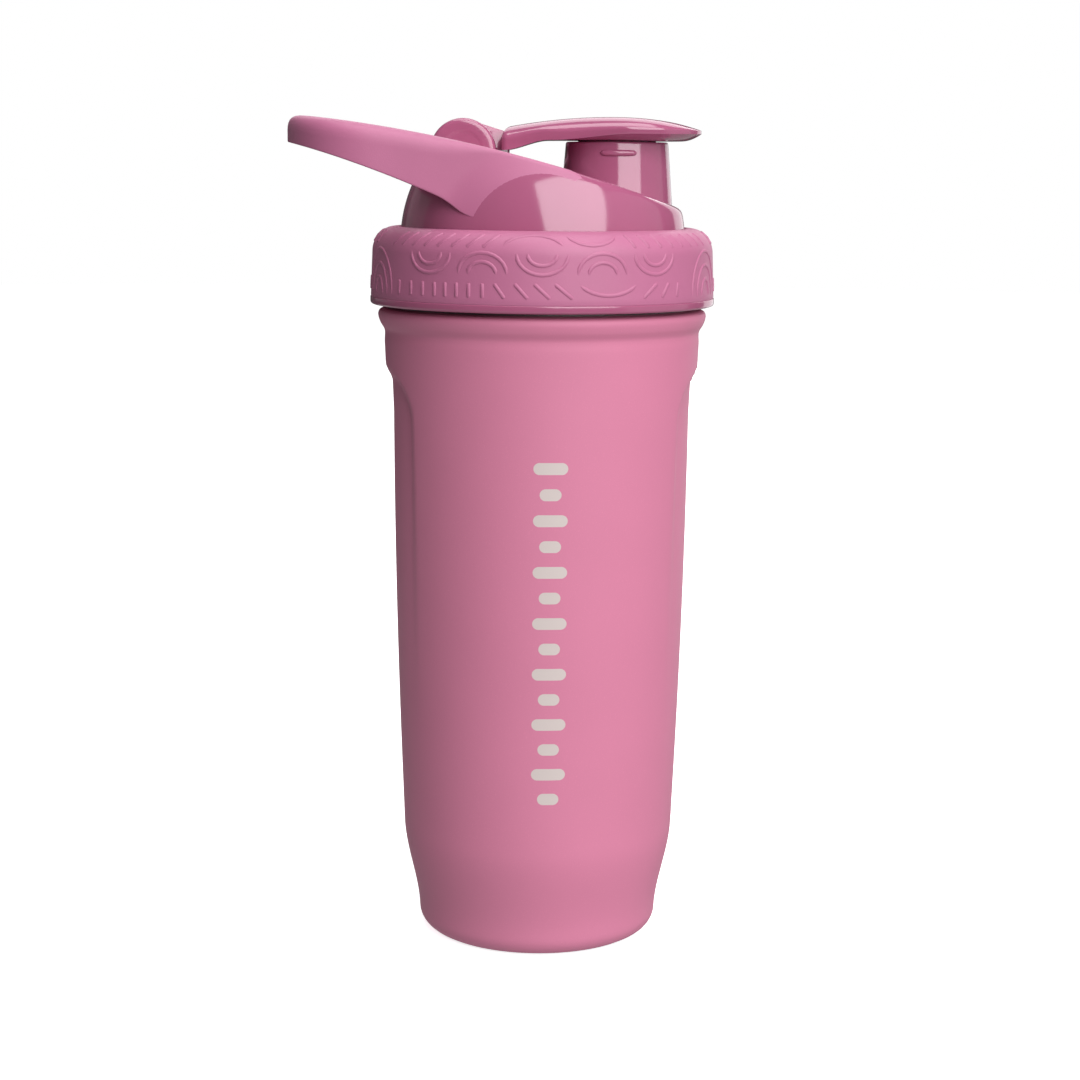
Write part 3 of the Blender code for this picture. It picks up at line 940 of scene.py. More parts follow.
@dataclass
class Lid:
    """The moulded lid: dome, spout, hinge ears, carry loop and threaded skirt."""

    outer: float = 48.0 * MM
    bottom: float = 179.0 * MM
    lip_height: float = 2.15 * MM
    plate_top: float = 198.2 * MM
    seat: float = 195.7 * MM
    collar_bottom: float = 189.5 * MM
    skirt: float = 45.3 * MM
    bore: float = 43.1 * MM
    wall: float = 2.2 * MM
    dome: float = 39.45 * MM
    centre: float = 196.0 * MM
    lift: float = 21.8 * MM
    slope: float = -0.27
    bend: float = 375.0 * MM
    edge: float = 0.75 * MM
    spout_x: float = 20.3 * MM
    spout_top: float = 223.55 * MM
    spout_foot: float = 204.2 * MM
    spout_mouth: float = 14.1 * MM
    spout_base: float = 15.6 * MM
    spout_bore: float = 11.2 * MM
    hinge: Point2 = (-21.8 * MM, 220.65 * MM)
    ear: float = 8.95 * MM
    ear_inner: float = 7.0 * MM
    ear_outer: float = 12.4 * MM
    pocket_floor: float = 215.05 * MM
    pocket_front: float = -10.8 * MM
    thread_start: float = 178.7 * MM
    thread_turns: Point2 = (0.6, 1.9)

    def crest(self, x: float) -> float:
        """Height of the swept top.

        Args:
            x: Where along the bottle.

        Returns:
            The height.
        """
        return self.centre + self.lift + self.slope * x - x * x / (2 * self.bend)

    def reach(self, way: Vector) -> float:
        """How far the dome reaches from its centre, softly cut by the swept top.

        Args:
            way: A unit direction.

        Returns:
            The distance.
        """
        a = way.x * way.x / (2 * self.bend)
        b = way.z - self.slope * way.x
        root = b * b + 4 * a * self.lift
        top = (math.sqrt(root) - b) / (2 * a) if a > 1e-9 else self.lift / max(b, 1e-6)
        if a <= 1e-9 and b <= 0:
            return self.dome
        nearer = min(top, self.dome)
        apart = abs(top - self.dome) / self.edge
        return nearer - self.edge * math.log1p(math.exp(-min(apart, 40.0)))

    def dome_solid(self, name: str, inset: float, segments: int) -> bpy.types.Object:
        """The dome as a closed ball cut by the swept top.

        Args:
            name: The piece's name.
            inset: How far it is set in.
            segments: How many facets go round.

        Returns:
            The piece.
        """
        Bench.clear_selection()
        bpy.ops.mesh.primitive_uv_sphere_add(segments=segments, ring_count=segments // 2, radius=1.0)
        piece = bpy.context.object
        piece.name = piece.data.name = name
        centre = Vector((0, 0, self.centre))
        for vertex in piece.data.vertices:
            way = vertex.co.normalized()
            vertex.co = centre + way * (self.reach(way) - inset)
        return piece

    def pocket(self, grow: float) -> bpy.types.Object:
        """A tool the shape of the hinge pocket.

        Args:
            grow: How far every side is moved out, so that no two cut faces share a plane.

        Returns:
            The tool.
        """
        half = self.ear_inner + grow
        low = (-self.outer, -half, self.pocket_floor - grow)
        return Bench.block("pocket_tool", low, (self.pocket_front + grow, half, 0.24))

    def bore_tool(self, radius: float) -> bpy.types.Object:
        """A round tool on the spout's axis.

        Args:
            radius: Its radius.

        Returns:
            The tool.
        """
        tool = Bench.lathe("bore_tool", [(0, 0.198), (radius, 0.198), (radius, 0.23), (0, 0.23)], 96)
        return Bench.place(tool, Matrix.Translation((self.spout_x, 0, 0)))

    def make_dome(self) -> bpy.types.Object:
        """The dome's shell, with its pocket and the hole under the spout.

        Returns:
            The shell.
        """
        shell = self.dome_solid("lid_dome", 0.0, 300)
        Bench.take(shell)
        bpy.ops.object.mode_set(mode="EDIT")
        bpy.ops.mesh.select_all(action="SELECT")
        bpy.ops.mesh.bisect(plane_co=(0, 0, self.plate_top - MM), plane_no=(0, 0, 1), clear_inner=True)
        bpy.ops.object.mode_set(mode="OBJECT")
        Bench.apply(shell, "SOLIDIFY", thickness=self.wall, offset=-1.0)
        Bench.cut(shell, self.pocket(0.09 * MM))
        middle = (self.spout_mouth + self.spout_bore) / 2
        return Bench.cut(shell, self.bore_tool(middle))

    def make_cradle(self) -> bpy.types.Object:
        """The thick block that the hinge pocket is sunk in.

        Returns:
            The cradle.
        """
        side = self.ear_inner + self.wall
        low = (-self.dome, -side, self.pocket_floor - self.wall)
        cradle = Bench.block("hinge_cradle", low, (self.pocket_front + self.wall, side, 0.235))
        Bench.cut(cradle, self.dome_solid("core", 0.06 * MM, 96), keep=True)
        return Bench.cut(cradle, self.pocket(0.03 * MM))

    def make_spout(self) -> bpy.types.Object:
        """The drinking spout and its thickened mouth.

        Returns:
            The spout.
        """
        foot, top = self.spout_foot, self.spout_top
        outline = rounded([
            (self.spout_bore, foot, 0), (self.spout_base, foot, 0),
            (self.spout_mouth + 0.55 * MM, top - 7 * MM, 20 * MM),
            (self.spout_mouth, top, 0.7 * MM), (self.spout_bore, top, 0.7 * MM),
        ], 8)
        spout = Bench.lathe("spout", outline, 128)
        return Bench.place(spout, Matrix.Translation((self.spout_x, 0, 0)))

    def make_rib(self, side: int) -> bpy.types.Object:
        """A short rounded bead across the spout.

        Args:
            side: Which side of the spout, -1 or 1.

        Returns:
            The bead.
        """
        ring_radius, thick, half = self.spout_mouth + 0.2 * MM, 0.82 * MM, math.radians(20.5)
        z = self.spout_top - 3.0 * MM
        rings = []
        for i in range(17):
            share = 2 * i / 16 - 1
            fade = max(0.05, math.sqrt(max(0.0, 1 - abs(share) ** 7)))
            angle = side * math.pi / 2 + share * half
            ring = []
            for k in range(14):
                turn = FULL_TURN * k / 14
                radius = ring_radius + thick * fade * math.cos(turn)
                up = thick * fade * math.sin(turn) * 1.05
                ring.append((self.spout_x + radius * math.cos(angle), radius * math.sin(angle), z + up))
            rings.append(ring)
        return Bench.loft("spout_bead", rings)

    def make_ear(self, side: int) -> bpy.types.Object:
        """A round hinge ear with a soft rim and a shallow dish in its face.

        Args:
            side: Which side of the pocket, -1 or 1.

        Returns:
            The ear.
        """
        inner, outer, r = self.ear_inner, self.ear_outer, self.ear
        outline = rounded([
            (0, inner, 0), (r, inner, 0.5 * MM), (r, outer, 1.5 * MM),
            (r - 3.2 * MM, outer, 0.8 * MM), (r - 4.0 * MM, outer - 0.22 * MM, 0.8 * MM),
            (0, outer - 0.22 * MM, 0),
        ], 6)
        ear = Bench.lathe("ear", outline, 96)
        stand = Matrix.Rotation(-side * math.pi / 2, 4, "X")
        return Bench.place(ear, Matrix.Translation((self.hinge[0], 0, self.hinge[1])) @ stand)

    def make_skirt(self) -> bpy.types.Object:
        """The skirt, its top plate, the strainer's collar and the lip under the grip ring.

        Returns:
            The skirt.
        """
        lip = self.outer - 0.2 * MM
        lip_top = self.bottom + self.lip_height
        inner = self.dome - self.wall
        outline = rounded([
            (inner, self.plate_top, 0), (self.skirt - 3 * MM, self.plate_top, 0.5 * MM),
            (self.skirt, self.plate_top - 4.5 * MM, 2 * MM),
            (self.skirt, lip_top, 0.2 * MM), (lip, lip_top, 0.35 * MM),
            (lip, self.bottom, 0.9 * MM), (self.bore, self.bottom, 0.5 * MM),
            (self.bore, self.seat, 0.3 * MM), (inner + 2 * MM, self.seat, 0.3 * MM),
            (inner + 2 * MM, self.collar_bottom, 0.4 * MM), (inner, self.collar_bottom, 0.4 * MM),
        ], 6)
        return Bench.lathe("lid_skirt", outline, 200)

    def build(self, gloss: bpy.types.Material) -> None:
        """Makes every glossy piece of the lid.

        Args:
            gloss: The polished finish.
        """
        spout = Bench.join("spout", [self.make_spout(), self.make_rib(-1), self.make_rib(1)])
        ears = Bench.join("hinge_ears", [self.make_ear(-1), self.make_ear(1)])
        thread = Bench.thread("lid_thread", -1, self.bore, self.thread_start, self.thread_turns)
        for piece in (self.make_dome(), self.make_cradle(), spout, ears, self.make_skirt(), thread):
            dress(piece, gloss, Slot.GLOSS, Body.LID, "lid_shell")


@dataclass
class CarryLoop:
    """The matte carry loop that grows out of the dome's flanks."""

    lid: Lid
    half_width: float = 31.1 * MM
    taper: float = 0.6 * MM
    round_length: float = 26.0 * MM
    squareness: float = 0.85
    blend: float = 4.5 * MM
    tip: float = -70.2 * MM
    front: float = 14.0 * MM
    width: float = 7.6 * MM
    tip_thickness: float = 7.4 * MM
    root_thickness: float = 17.0 * MM
    root_x: float = -21.5 * MM

    def side_at(self, s: float) -> Point2:
        """A point on the loop's outer side.

        Args:
            s: From -1 at the near arm's front end to 1 at the far arm's front end.

        Returns:
            Its X and Y.
        """
        turn_x = self.tip + self.round_length
        straight, bow = self.front - turn_x, self.round_length * 1.75
        travel = abs(s) * (straight + bow)
        side = -1 if s < 0 else 1
        if travel > bow:
            share = (travel - bow) / straight
            narrow = self.taper * (1 - ease(share * 1.6))
            return turn_x + (travel - bow), side * (self.half_width - narrow)
        angle = travel / bow * math.pi / 2
        half = self.half_width - self.taper
        across = half * math.sin(angle) ** self.squareness
        return turn_x - self.round_length * math.cos(angle) ** self.squareness, side * across

    def thickness(self, x: float) -> float:
        """The loop's height at a place along the bottle.

        Args:
            x: The place.

        Returns:
            The height.
        """
        share = max(0.0, min(1.0, (x - self.tip) / (self.root_x - self.tip)))
        growth = (self.root_thickness - self.tip_thickness) * share**1.25
        return self.tip_thickness + growth + 2.0 * MM * ease((x + 28 * MM) / (10 * MM))

    def hug(self, x: float, y: float, z: float) -> float:
        """How far out the arm's side is pushed so that it blends into the dome.

        Args:
            x: The place along the bottle.
            y: The arm's own distance from the middle.
            z: The height.

        Returns:
            The distance.
        """
        left = self.lid.dome**2 - x * x - (z - self.lid.centre) ** 2
        if left <= 0 or x < -36 * MM:
            return 0.0
        skin = math.sqrt(left)
        near = max(0.0, self.blend - abs(skin - y)) / self.blend
        out = max(skin, y) + near * near * self.blend / 4 - 0.1 * MM
        return max(0.0, min(out, y + 4 * MM) - y)

    def build(self, matte: bpy.types.Material) -> None:
        """Makes the loop.

        Args:
            matte: The textured finish.
        """
        count = 150
        places = [Vector(self.side_at(-1 + 2 * i / count)) for i in range(count + 1)]
        rings = []
        for i, place in enumerate(places):
            run = (places[min(count, i + 1)] - places[max(0, i - 1)]).normalized()
            inward = Vector((run.y, -run.x))
            if inward.dot(Vector((-45 * MM, 0)) - place) < 0 and place.x < -25 * MM:
                inward = -inward
            if place.x >= -25 * MM:
                inward = Vector((0, -math.copysign(1, place.y)))
            wide = self.width + 9.6 * MM * ease((place.x + 40 * MM) / (11 * MM))
            wide += 6 * MM * ease((place.x + 29 * MM) / (10 * MM))
            rings.append(self.section(place, inward, wide))
        loop = Bench.loft("carry_loop", rings)
        dress(loop, matte, Slot.MATTE, Body.LID, "lid_shell")

    def section(self, place: Vector, inward: Vector, wide: float) -> list[Point3]:
        """One section across the loop.

        Args:
            place: The outer side's X and Y.
            inward: The unit direction to the inner side.
            wide: The section's width.

        Returns:
            The section's points.
        """
        high = self.thickness(place.x)
        soft = min(4.6 * MM, high * 0.55) - 3.4 * MM * ease((place.x + 30 * MM) / (20 * MM))
        edge, inner_edge, steps = 0.45 * MM, 2.0 * MM, 8
        corners = [(0, 0, edge), (wide, 0, 1.6 * MM), (wide, high, inner_edge), (0, high, soft)]
        around = rounded(corners, steps)
        last = 3 * (steps + 1)
        top = [(soft + (wide - inner_edge - soft) * i / 16, high) for i in range(15, 0, -1)]
        flank = [(0, high - soft + (edge - high + soft) * i / 14) for i in range(1, 14)]
        outline = [*around[:last], *top, *around[last:], *flank]
        low = self.lid.crest(place.x) - high
        made = []
        for across, up in outline:
            share = max(0.0, 1 - across / (5 * MM))
            spot = place + inward * across
            spot = spot - inward * self.hug(spot.x, abs(spot.y), low + up) * share
            lean = self.lid.crest(spot.x) - self.lid.crest(place.x)
            sink_from = 9 * MM * (spot.y / self.half_width) ** 2 - 3 * MM
            proud = 0.12 * MM - 0.9 * MM * ease((spot.x - sink_from) / (5 * MM))
            made.append((spot.x, spot.y, low + up * (1 + proud / high) + lean))
        return made


@dataclass
class GripRing:
    """The matte ring over the skirt, with raised bars and arches all round it."""

    bottom: float = 181.05 * MM
    bottom_radius: float = 47.66 * MM
    shoulder: float = 193.4 * MM
    shoulder_radius: float = 47.2 * MM
    corner: Point2 = (6.3 * MM, 6.8 * MM)
    inner: float = 39.75 * MM
    bore: float = 45.5 * MM
    step: float = 198.35 * MM
    proud: float = 0.29 * MM
    bar_width: float = 1.1 * MM

    def outer_line(self) -> list[Point2]:
        """The outer side from the bottom edge to the top.

        Returns:
            Points as radius and height.
        """
        wide, high = self.corner
        radius, edge, top = self.bottom_radius, 0.45 * MM, self.shoulder_radius
        start = self.bottom + edge
        low = [(radius - edge, self.bottom), (radius - 0.1 * MM, self.bottom + 0.12 * MM), (radius, start)]
        shares = [i / 8 for i in range(1, 9)]
        wall = [(radius + (top - radius) * t, start + (self.shoulder - start) * t) for t in shares]
        turns = [math.pi / 2 * i / 16 for i in range(1, 17)]
        fillet = [(top - wide * (1 - math.cos(a)), self.shoulder + high * math.sin(a)) for a in turns]
        return [*low, *wall, *fillet]

    def surface(self, angle: float, travel: float, lift: float) -> Point3:
        """A place on the outer side.

        Args:
            angle: The angle from the front, in degrees, growing towards the spout.
            travel: The way up along the outer side from the bottom edge.
            lift: How far it stands off the surface.

        Returns:
            The place.
        """
        line = [Vector(p) for p in self.outer_line()[2:]]
        left = travel
        spot, normal = line[-1], Vector((0, 1))
        for a, b in zip(line, line[1:]):
            run = b - a
            if left <= run.length:
                spot = a + run * (left / run.length)
                normal = Vector((run.y, -run.x)).normalized()
                break
            left -= run.length
        spot = spot + normal * lift
        turn = math.radians(angle - 90)
        return (spot.x * math.cos(turn), spot.x * math.sin(turn), spot.y)

    def bar(self, path: Sequence[Point2]) -> bpy.types.Object:
        """One raised rounded bar along a path on the outer side.

        Args:
            path: The path, as angle in degrees and way up in metres.

        Returns:
            The bar.
        """
        reach = self.bottom_radius
        flat = [Vector((math.radians(a) * reach, s)) for a, s in path]
        rings = []
        for i, spot in enumerate(flat):
            run = (flat[min(len(flat) - 1, i + 1)] - flat[max(0, i - 1)]).normalized()
            across = Vector((-run.y, run.x))
            end = 0.45 if i in (0, len(flat) - 1) else 1.0
            ring = []
            for k in range(7):
                turn = math.pi * k / 6
                place = spot + across * (math.cos(turn) * self.bar_width / 2 * end)
                lift = math.sin(turn) * self.proud * end - 0.06 * MM
                ring.append(self.surface(math.degrees(place.x / reach), place.y, lift))
            rings.append(ring)
        return Bench.loft("bar", rings)

    @staticmethod
    def slant(angle: float, low: float, high: float, lean: float) -> list[Point2]:
        """A straight path.

        Args:
            angle: The middle's angle, in degrees.
            low: The way up of its lower end.
            high: The way up of its upper end.
            lean: How far the upper end is turned on from the lower end, in degrees.

        Returns:
            The path.
        """
        shares = (0.0, 0.06, 0.5, 0.94, 1.0)
        return [(angle + lean * (t - 0.5), low + (high - low) * t) for t in shares]

    @staticmethod
    def bow(angle: float, half: float, low: float, high: float, sides: float = 1.0) -> list[Point2]:
        """A path along a half ellipse.

        Args:
            angle: The middle's angle, in degrees.
            half: Half its width, in degrees.
            low: The way up of its two ends.
            high: The way up of its middle.
            sides: How much of the half ellipse is used; 1 makes upright ends.

        Returns:
            The path.
        """
        made = []
        last = math.pi / 2 * sides
        for i in range(13):
            turn = last * (i / 6 - 1)
            drop = (math.cos(turn) - math.cos(last)) / (1 - math.cos(last))
            made.append((angle + half * math.sin(turn) / math.sin(last), low + (high - low) * drop))
        return made

    def paths(self) -> list[list[Point2]]:
        """Every raised path of half the ring.

        Returns:
            The paths.
        """
        low, high = 1.5 * MM, 5.3 * MM
        upright = (-53.2, -47.0, -41.6, -36.6, -32.4, -28.2, -23.8, -19.2, 84.5, 89.5, 94.5)
        leaning = ((-13.6, -3.4), (-6.6, -4.2), (0.0, -5.0), (6.8, -5.6),
                   (36.8, 5.6), (43.2, 3.2), (49.0, 0.6))
        nested = ((10.6, 13.2 * MM), (7.0, 9.4 * MM), (3.4, 5.6 * MM))
        made = [self.slant(a, low, high, 0.0) for a in upright]
        made += [self.slant(a, low, high, lean) for a, lean in leaning]
        made.append(self.bow(21.6, 9.4, 4.8 * MM, 2.3 * MM, 0.55))
        made += [self.bow(middle, half, 1.2 * MM, top) for middle in (-68.5, 68.5) for half, top in nested]
        for i in range(5):
            middle = 19.5 * (i - 2)
            near, far = (7.8 * MM, 13.2 * MM) if i % 2 else (13.0 * MM, 7.6 * MM)
            inner = far + (near - far) * 0.44
            made += [self.bow(middle, 8.2, near, far), self.bow(middle, 4.7, near, inner)]
        fillet_low, fillet_high = 14.6 * MM, 19.0 * MM
        made += [self.slant(-56 + 5.6 * i, fillet_low, fillet_high, 5.2) for i in range(8)]
        made.append(self.bow(-3.0, 9.5, 15.4 * MM, 18.6 * MM, 0.7))
        made.append(self.bow(16.5, 8.5, 18.4 * MM, 15.4 * MM, 0.7))
        made += [self.slant(30 + 5.4 * i, fillet_low, fillet_high, -3.0) for i in range(8)]
        made += [self.slant(80 + 6.5 * i, fillet_low, fillet_high, 0.0) for i in range(5)]
        return made

    def build(self, matte: bpy.types.Material) -> None:
        """Makes the ring and its raised bars.

        Args:
            matte: The textured finish.
        """
        top = self.shoulder + self.corner[1]
        closing = [
            (self.inner + 0.25 * MM, top), (self.inner, top - 0.3 * MM), (self.inner, self.step),
            (self.bore - 2.9 * MM, self.step), (self.bore, self.step - 4.6 * MM), (self.bore, self.bottom),
        ]
        ring = Bench.lathe("grip_ring_body", [*self.outer_line(), *closing], 220)
        dress(ring, matte, Slot.MATTE, Body.LID, "grip_ring")
        bars = [self.bar(path) for path in self.paths()]
        half = Bench.join("grip_bars", bars)
        other = half.copy()
        other.data = half.data.copy()
        bpy.context.collection.objects.link(other)
        Bench.place(other, Matrix.Rotation(math.pi, 4, "Z"))
        dress(Bench.join("grip_bars", [half, other]), matte, Slot.MATTE, Body.LID, "grip_ring")


@dataclass
class FlipCap:
    """The flip cap: a shallow lens over the spout, its knuckle and the seal under it."""

    lid: Lid
    root: float = -11.4 * MM
    root_half: float = 13.5 * MM
    spread: float = 0.16
    disc_x: float = 24.6 * MM
    disc: float = 18.9 * MM
    underside: float = 223.87 * MM
    crown: float = 230.12 * MM
    crown_x: float = 19.0 * MM
    crown_bend: Point2 = (300 * MM, 214 * MM)
    rim_rise: float = 2.0 * MM
    rim_reach: float = 5.5 * MM
    knuckle: float = 4.95 * MM
    knuckle_half: float = 6.65 * MM
    pin_bore: float = 1.8 * MM
    boss: float = 8.2 * MM
    boss_drop: float = 2.8 * MM
    seal: float = 10.75 * MM
    seal_floor: float = 219.4 * MM

    def half_at(self, x: float) -> float:
        """Half the cap's width.

        Args:
            x: The place along it.

        Returns:
            The half width.
        """
        line = self.root_half + self.spread * (x - self.root)
        line = min(line, self.disc)
        past = x - self.disc_x
        if past > 0:
            return math.sqrt(max(0.0, self.disc**2 - past**2))
        corner = 1.6 * MM
        near = (x - self.root) / corner
        return line - (corner * (1 - math.sqrt(1 - (1 - near) ** 2)) if near < 1 else 0.0)

    def low_at(self, x: float) -> float:
        """The underside's height.

        Args:
            x: The place along it.

        Returns:
            The height.
        """
        start = self.lid.crest(self.root) + 0.35 * MM
        return start + (self.underside - start) * ease((x - self.root) / (13 * MM))

    def section(self, x: float) -> list[Point3]:
        """One section across the cap.

        Args:
            x: The place along it.

        Returns:
            The section's points.
        """
        half = max(self.half_at(x), 0.04 * MM)
        low = self.low_at(x)
        share = max(0.0, min(1.0, (self.disc_x - x) / (self.disc_x - self.root)))
        rise_here = self.rim_rise * (1 - ease(share * 1.6))
        edge = low + rise_here + (0.85 + 1.9 * share) * MM
        bend = self.crown_bend[0] if x < self.crown_x else self.crown_bend[1]
        high = self.crown - (x - self.crown_x) ** 2 / bend
        points = []
        count = 36
        for i in range(count + 1):
            y = -half * math.cos(math.pi * i / count)
            inward = min(self.inward(x, y, half), (x - self.root) * 3)
            rise = math.sqrt(max(0.0, 1 - (1 - min(1.0, inward / (7.5 * MM))) ** 2))
            points.append((x, y, edge + (high - edge) * rise))
        for i in range(1, 24):
            y = half * math.cos(math.pi * i / 24) * 0.992
            curl = max(0.0, 1 - self.inward(x, y, half) / self.rim_reach)
            points.append((x, y, low + rise_here * curl**2))
        return points

    def inward(self, x: float, y: float, half: float) -> float:
        """How far inside the cap's edge a place lies.

        Args:
            x: The place along the cap.
            y: The place across it.
            half: Half the cap's width there.

        Returns:
            The distance.
        """
        far = self.disc - math.hypot(x - self.disc_x, y) if x > self.disc_x else half - abs(y)
        return max(0.0, far)

    def wedge(self) -> bpy.types.Object:
        """The raised web between the ears that carries the cap.

        Returns:
            The web.
        """
        x, z = self.lid.hinge
        outline = rounded([
            (x - 1.5 * MM, z + 1.0 * MM, 0), (x + 2 * MM, z - 1.6 * MM, 0),
            (self.root + 2 * MM, z - 0.2 * MM, 0), (self.root + 2 * MM, z + 5.0 * MM, 0),
            (self.root + 0.3 * MM, z + 5.7 * MM, 1.0 * MM),
            (x + 4.3 * MM, z + 7.7 * MM, 1.2 * MM), (x + 1.5 * MM, z + 6.0 * MM, 1.0 * MM)], 4)
        half = self.knuckle_half - 0.05 * MM
        steps = [(-half, 0.94), (-half + 0.12 * MM, 0.97), (-half + 0.4 * MM, 1.0)]
        steps += [(-y, share) for y, share in reversed(steps)]
        middle = Vector((x + 5 * MM, z + 2 * MM))
        rings = []
        for y, share in steps:
            spots = [middle + (Vector(p) - middle) * share for p in outline]
            rings.append([(spot.x, y, spot.y) for spot in spots])
        return Bench.loft("web", rings)

    def make_lens(self) -> bpy.types.Object:
        """The cap's shallow lens.

        Returns:
            The lens.
        """
        places = [self.root + (self.disc_x - self.root) * (i / 60) ** 1.5 for i in range(61)]
        places += [self.disc_x + self.disc * math.sin(math.pi / 2 * i / 60) for i in range(1, 61)]
        return Bench.loft("flip_cap_lens", [self.section(x) for x in places])

    def make_boss(self) -> bpy.types.Object:
        """The round boss that holds the seal.

        Returns:
            The boss.
        """
        low, high = self.underside - self.boss_drop, self.underside + MM
        outline = rounded([(0, low, 0), (self.boss, low, 0.5 * MM), (self.boss, high, 0), (0, high, 0)])
        return Bench.place(Bench.lathe("boss", outline, 64), Matrix.Translation((self.lid.spout_x, 0, 0)))

    def make_knuckle(self) -> bpy.types.Object:
        """The barrel that turns on the hinge pin.

        Returns:
            The barrel.
        """
        x, z = self.lid.hinge
        half, outer, bore = self.knuckle_half, self.knuckle, self.pin_bore
        outline = rounded([
            (bore, -half, 0.2 * MM), (outer, -half, 0.5 * MM),
            (outer, half, 0.5 * MM), (bore, half, 0.2 * MM)])
        lying = Matrix.Translation((x, 0, z)) @ Matrix.Rotation(math.pi / 2, 4, "X")
        return Bench.place(Bench.lathe("knuckle", outline, 72), lying)

    def make_seal(self) -> bpy.types.Object:
        """The silicone cup on the boss, with a groove round it.

        Returns:
            The seal.
        """
        floor, r, top = self.seal_floor, self.seal, self.underside - 0.02 * MM
        bore, inside = self.boss + 0.1 * MM, self.underside - self.boss_drop - 0.1 * MM
        outline = rounded([
            (0, floor, 0), (r, floor, 0.9 * MM), (r, floor + 1.6 * MM, 0.3 * MM),
            (r - 0.45 * MM, floor + 2.0 * MM, 0.3 * MM), (r, floor + 2.4 * MM, 0.3 * MM),
            (r, top, 0), (bore, top, 0), (bore, inside, 0), (0, inside, 0)])
        seal = Bench.lathe("spout_seal_cup", outline, 96)
        return Bench.place(seal, Matrix.Translation((self.lid.spout_x, 0, 0)))

    def build(self, gloss: bpy.types.Material, rubber: bpy.types.Material) -> None:
        """Makes the cap and its seal.

        Args:
            gloss: The cap's polished finish.
            rubber: The seal's finish.
        """
        parts = [self.make_lens(), self.make_boss(), self.wedge(), self.make_knuckle()]
        dress(Bench.join("flip_cap_lens", parts), gloss, Slot.GLOSS, Body.CAP, "flip_cap")
        dress(self.make_seal(), rubber, Slot.SILICONE, Body.CAP, "spout_seal")


@dataclass
class Fittings:
    """The small parts inside: gasket, strainer and hinge pin."""

    lid: Lid
    gasket: Point2 = (39.6 * MM, 42.8 * MM)
    gasket_height: Point2 = (193.6 * MM, 195.4 * MM)
    strainer: float = 37.0 * MM
    strainer_wall: float = 1.4 * MM
    strainer_plate: float = 1.8 * MM
    strainer_low: float = 186.4 * MM
    strainer_top: float = 194.0 * MM
    hole: float = 3.6 * MM
    hole_pitch: float = 7.4 * MM
    pin: float = 1.5 * MM
    pin_ends: Point2 = (-10.6 * MM, 12.1 * MM)

    def make_gasket(self, rubber: bpy.types.Material) -> None:
        """Makes the sealing ring.

        Args:
            rubber: Its finish.
        """
        (r0, r1), (z0, z1) = self.gasket, self.gasket_height
        outline = rounded([(r, z, 0.5 * MM) for r, z in ((r0, z0), (r1, z0), (r1, z1), (r0, z1))])
        dress(Bench.lathe("gasket_ring", outline, 120), rubber, Slot.SILICONE, Body.GASKET, "lid_gasket")

    def make_strainer(self, matte: bpy.types.Material) -> None:
        """Makes the mixing strainer with its square holes.

        Args:
            matte: Its finish.
        """
        r, low, top = self.strainer, self.strainer_low, self.strainer_top
        inner, floor = r - self.strainer_wall, low + self.strainer_plate
        outline = rounded([
            (0, low, 0), (r, low, 0.4 * MM), (r, low + MM, 0), (r + 1.6 * MM, low + MM, 0.3 * MM),
            (r + 1.6 * MM, low + 2.8 * MM, 0.3 * MM), (r, low + 2.8 * MM, 0), (r, top, 0.4 * MM),
            (inner, top, 0.4 * MM), (inner, floor, 0.5 * MM), (0, floor, 0)], 4)
        plate = Bench.lathe("strainer_plate", outline, 140)
        clear = inner - self.hole
        tools = []
        reach = int(clear / self.hole_pitch) + 1
        half = self.hole / 2
        for i in range(-reach, reach + 1):
            for k in range(-reach, reach + 1):
                x, y = i * self.hole_pitch, k * self.hole_pitch
                if math.hypot(x, y) < clear:
                    far = (x + half, y + half, low + 3 * MM)
                    tools.append(Bench.block("hole", (x - half, y - half, low - MM), far))
        Bench.cut(plate, Bench.join("holes", tools))
        dress(plate, matte, Slot.MATTE, Body.LID, "mixer_strainer")

    def make_pin(self, steel: bpy.types.Material) -> None:
        """Makes the hinge pin.

        Args:
            steel: Its finish.
        """
        x, z = self.lid.hinge
        start, end = self.pin_ends
        soft = 0.25 * MM
        outline = rounded([(0, start, 0), (self.pin, start, soft), (self.pin, end, soft), (0, end, 0)], 3)
        rod = Bench.lathe("pin_rod", outline, 40)
        Bench.place(rod, Matrix.Translation((x, 0, z)) @ Matrix.Rotation(-math.pi / 2, 4, "X"))
        dress(rod, steel, Slot.STEEL, Body.LID, "hinge_pin")


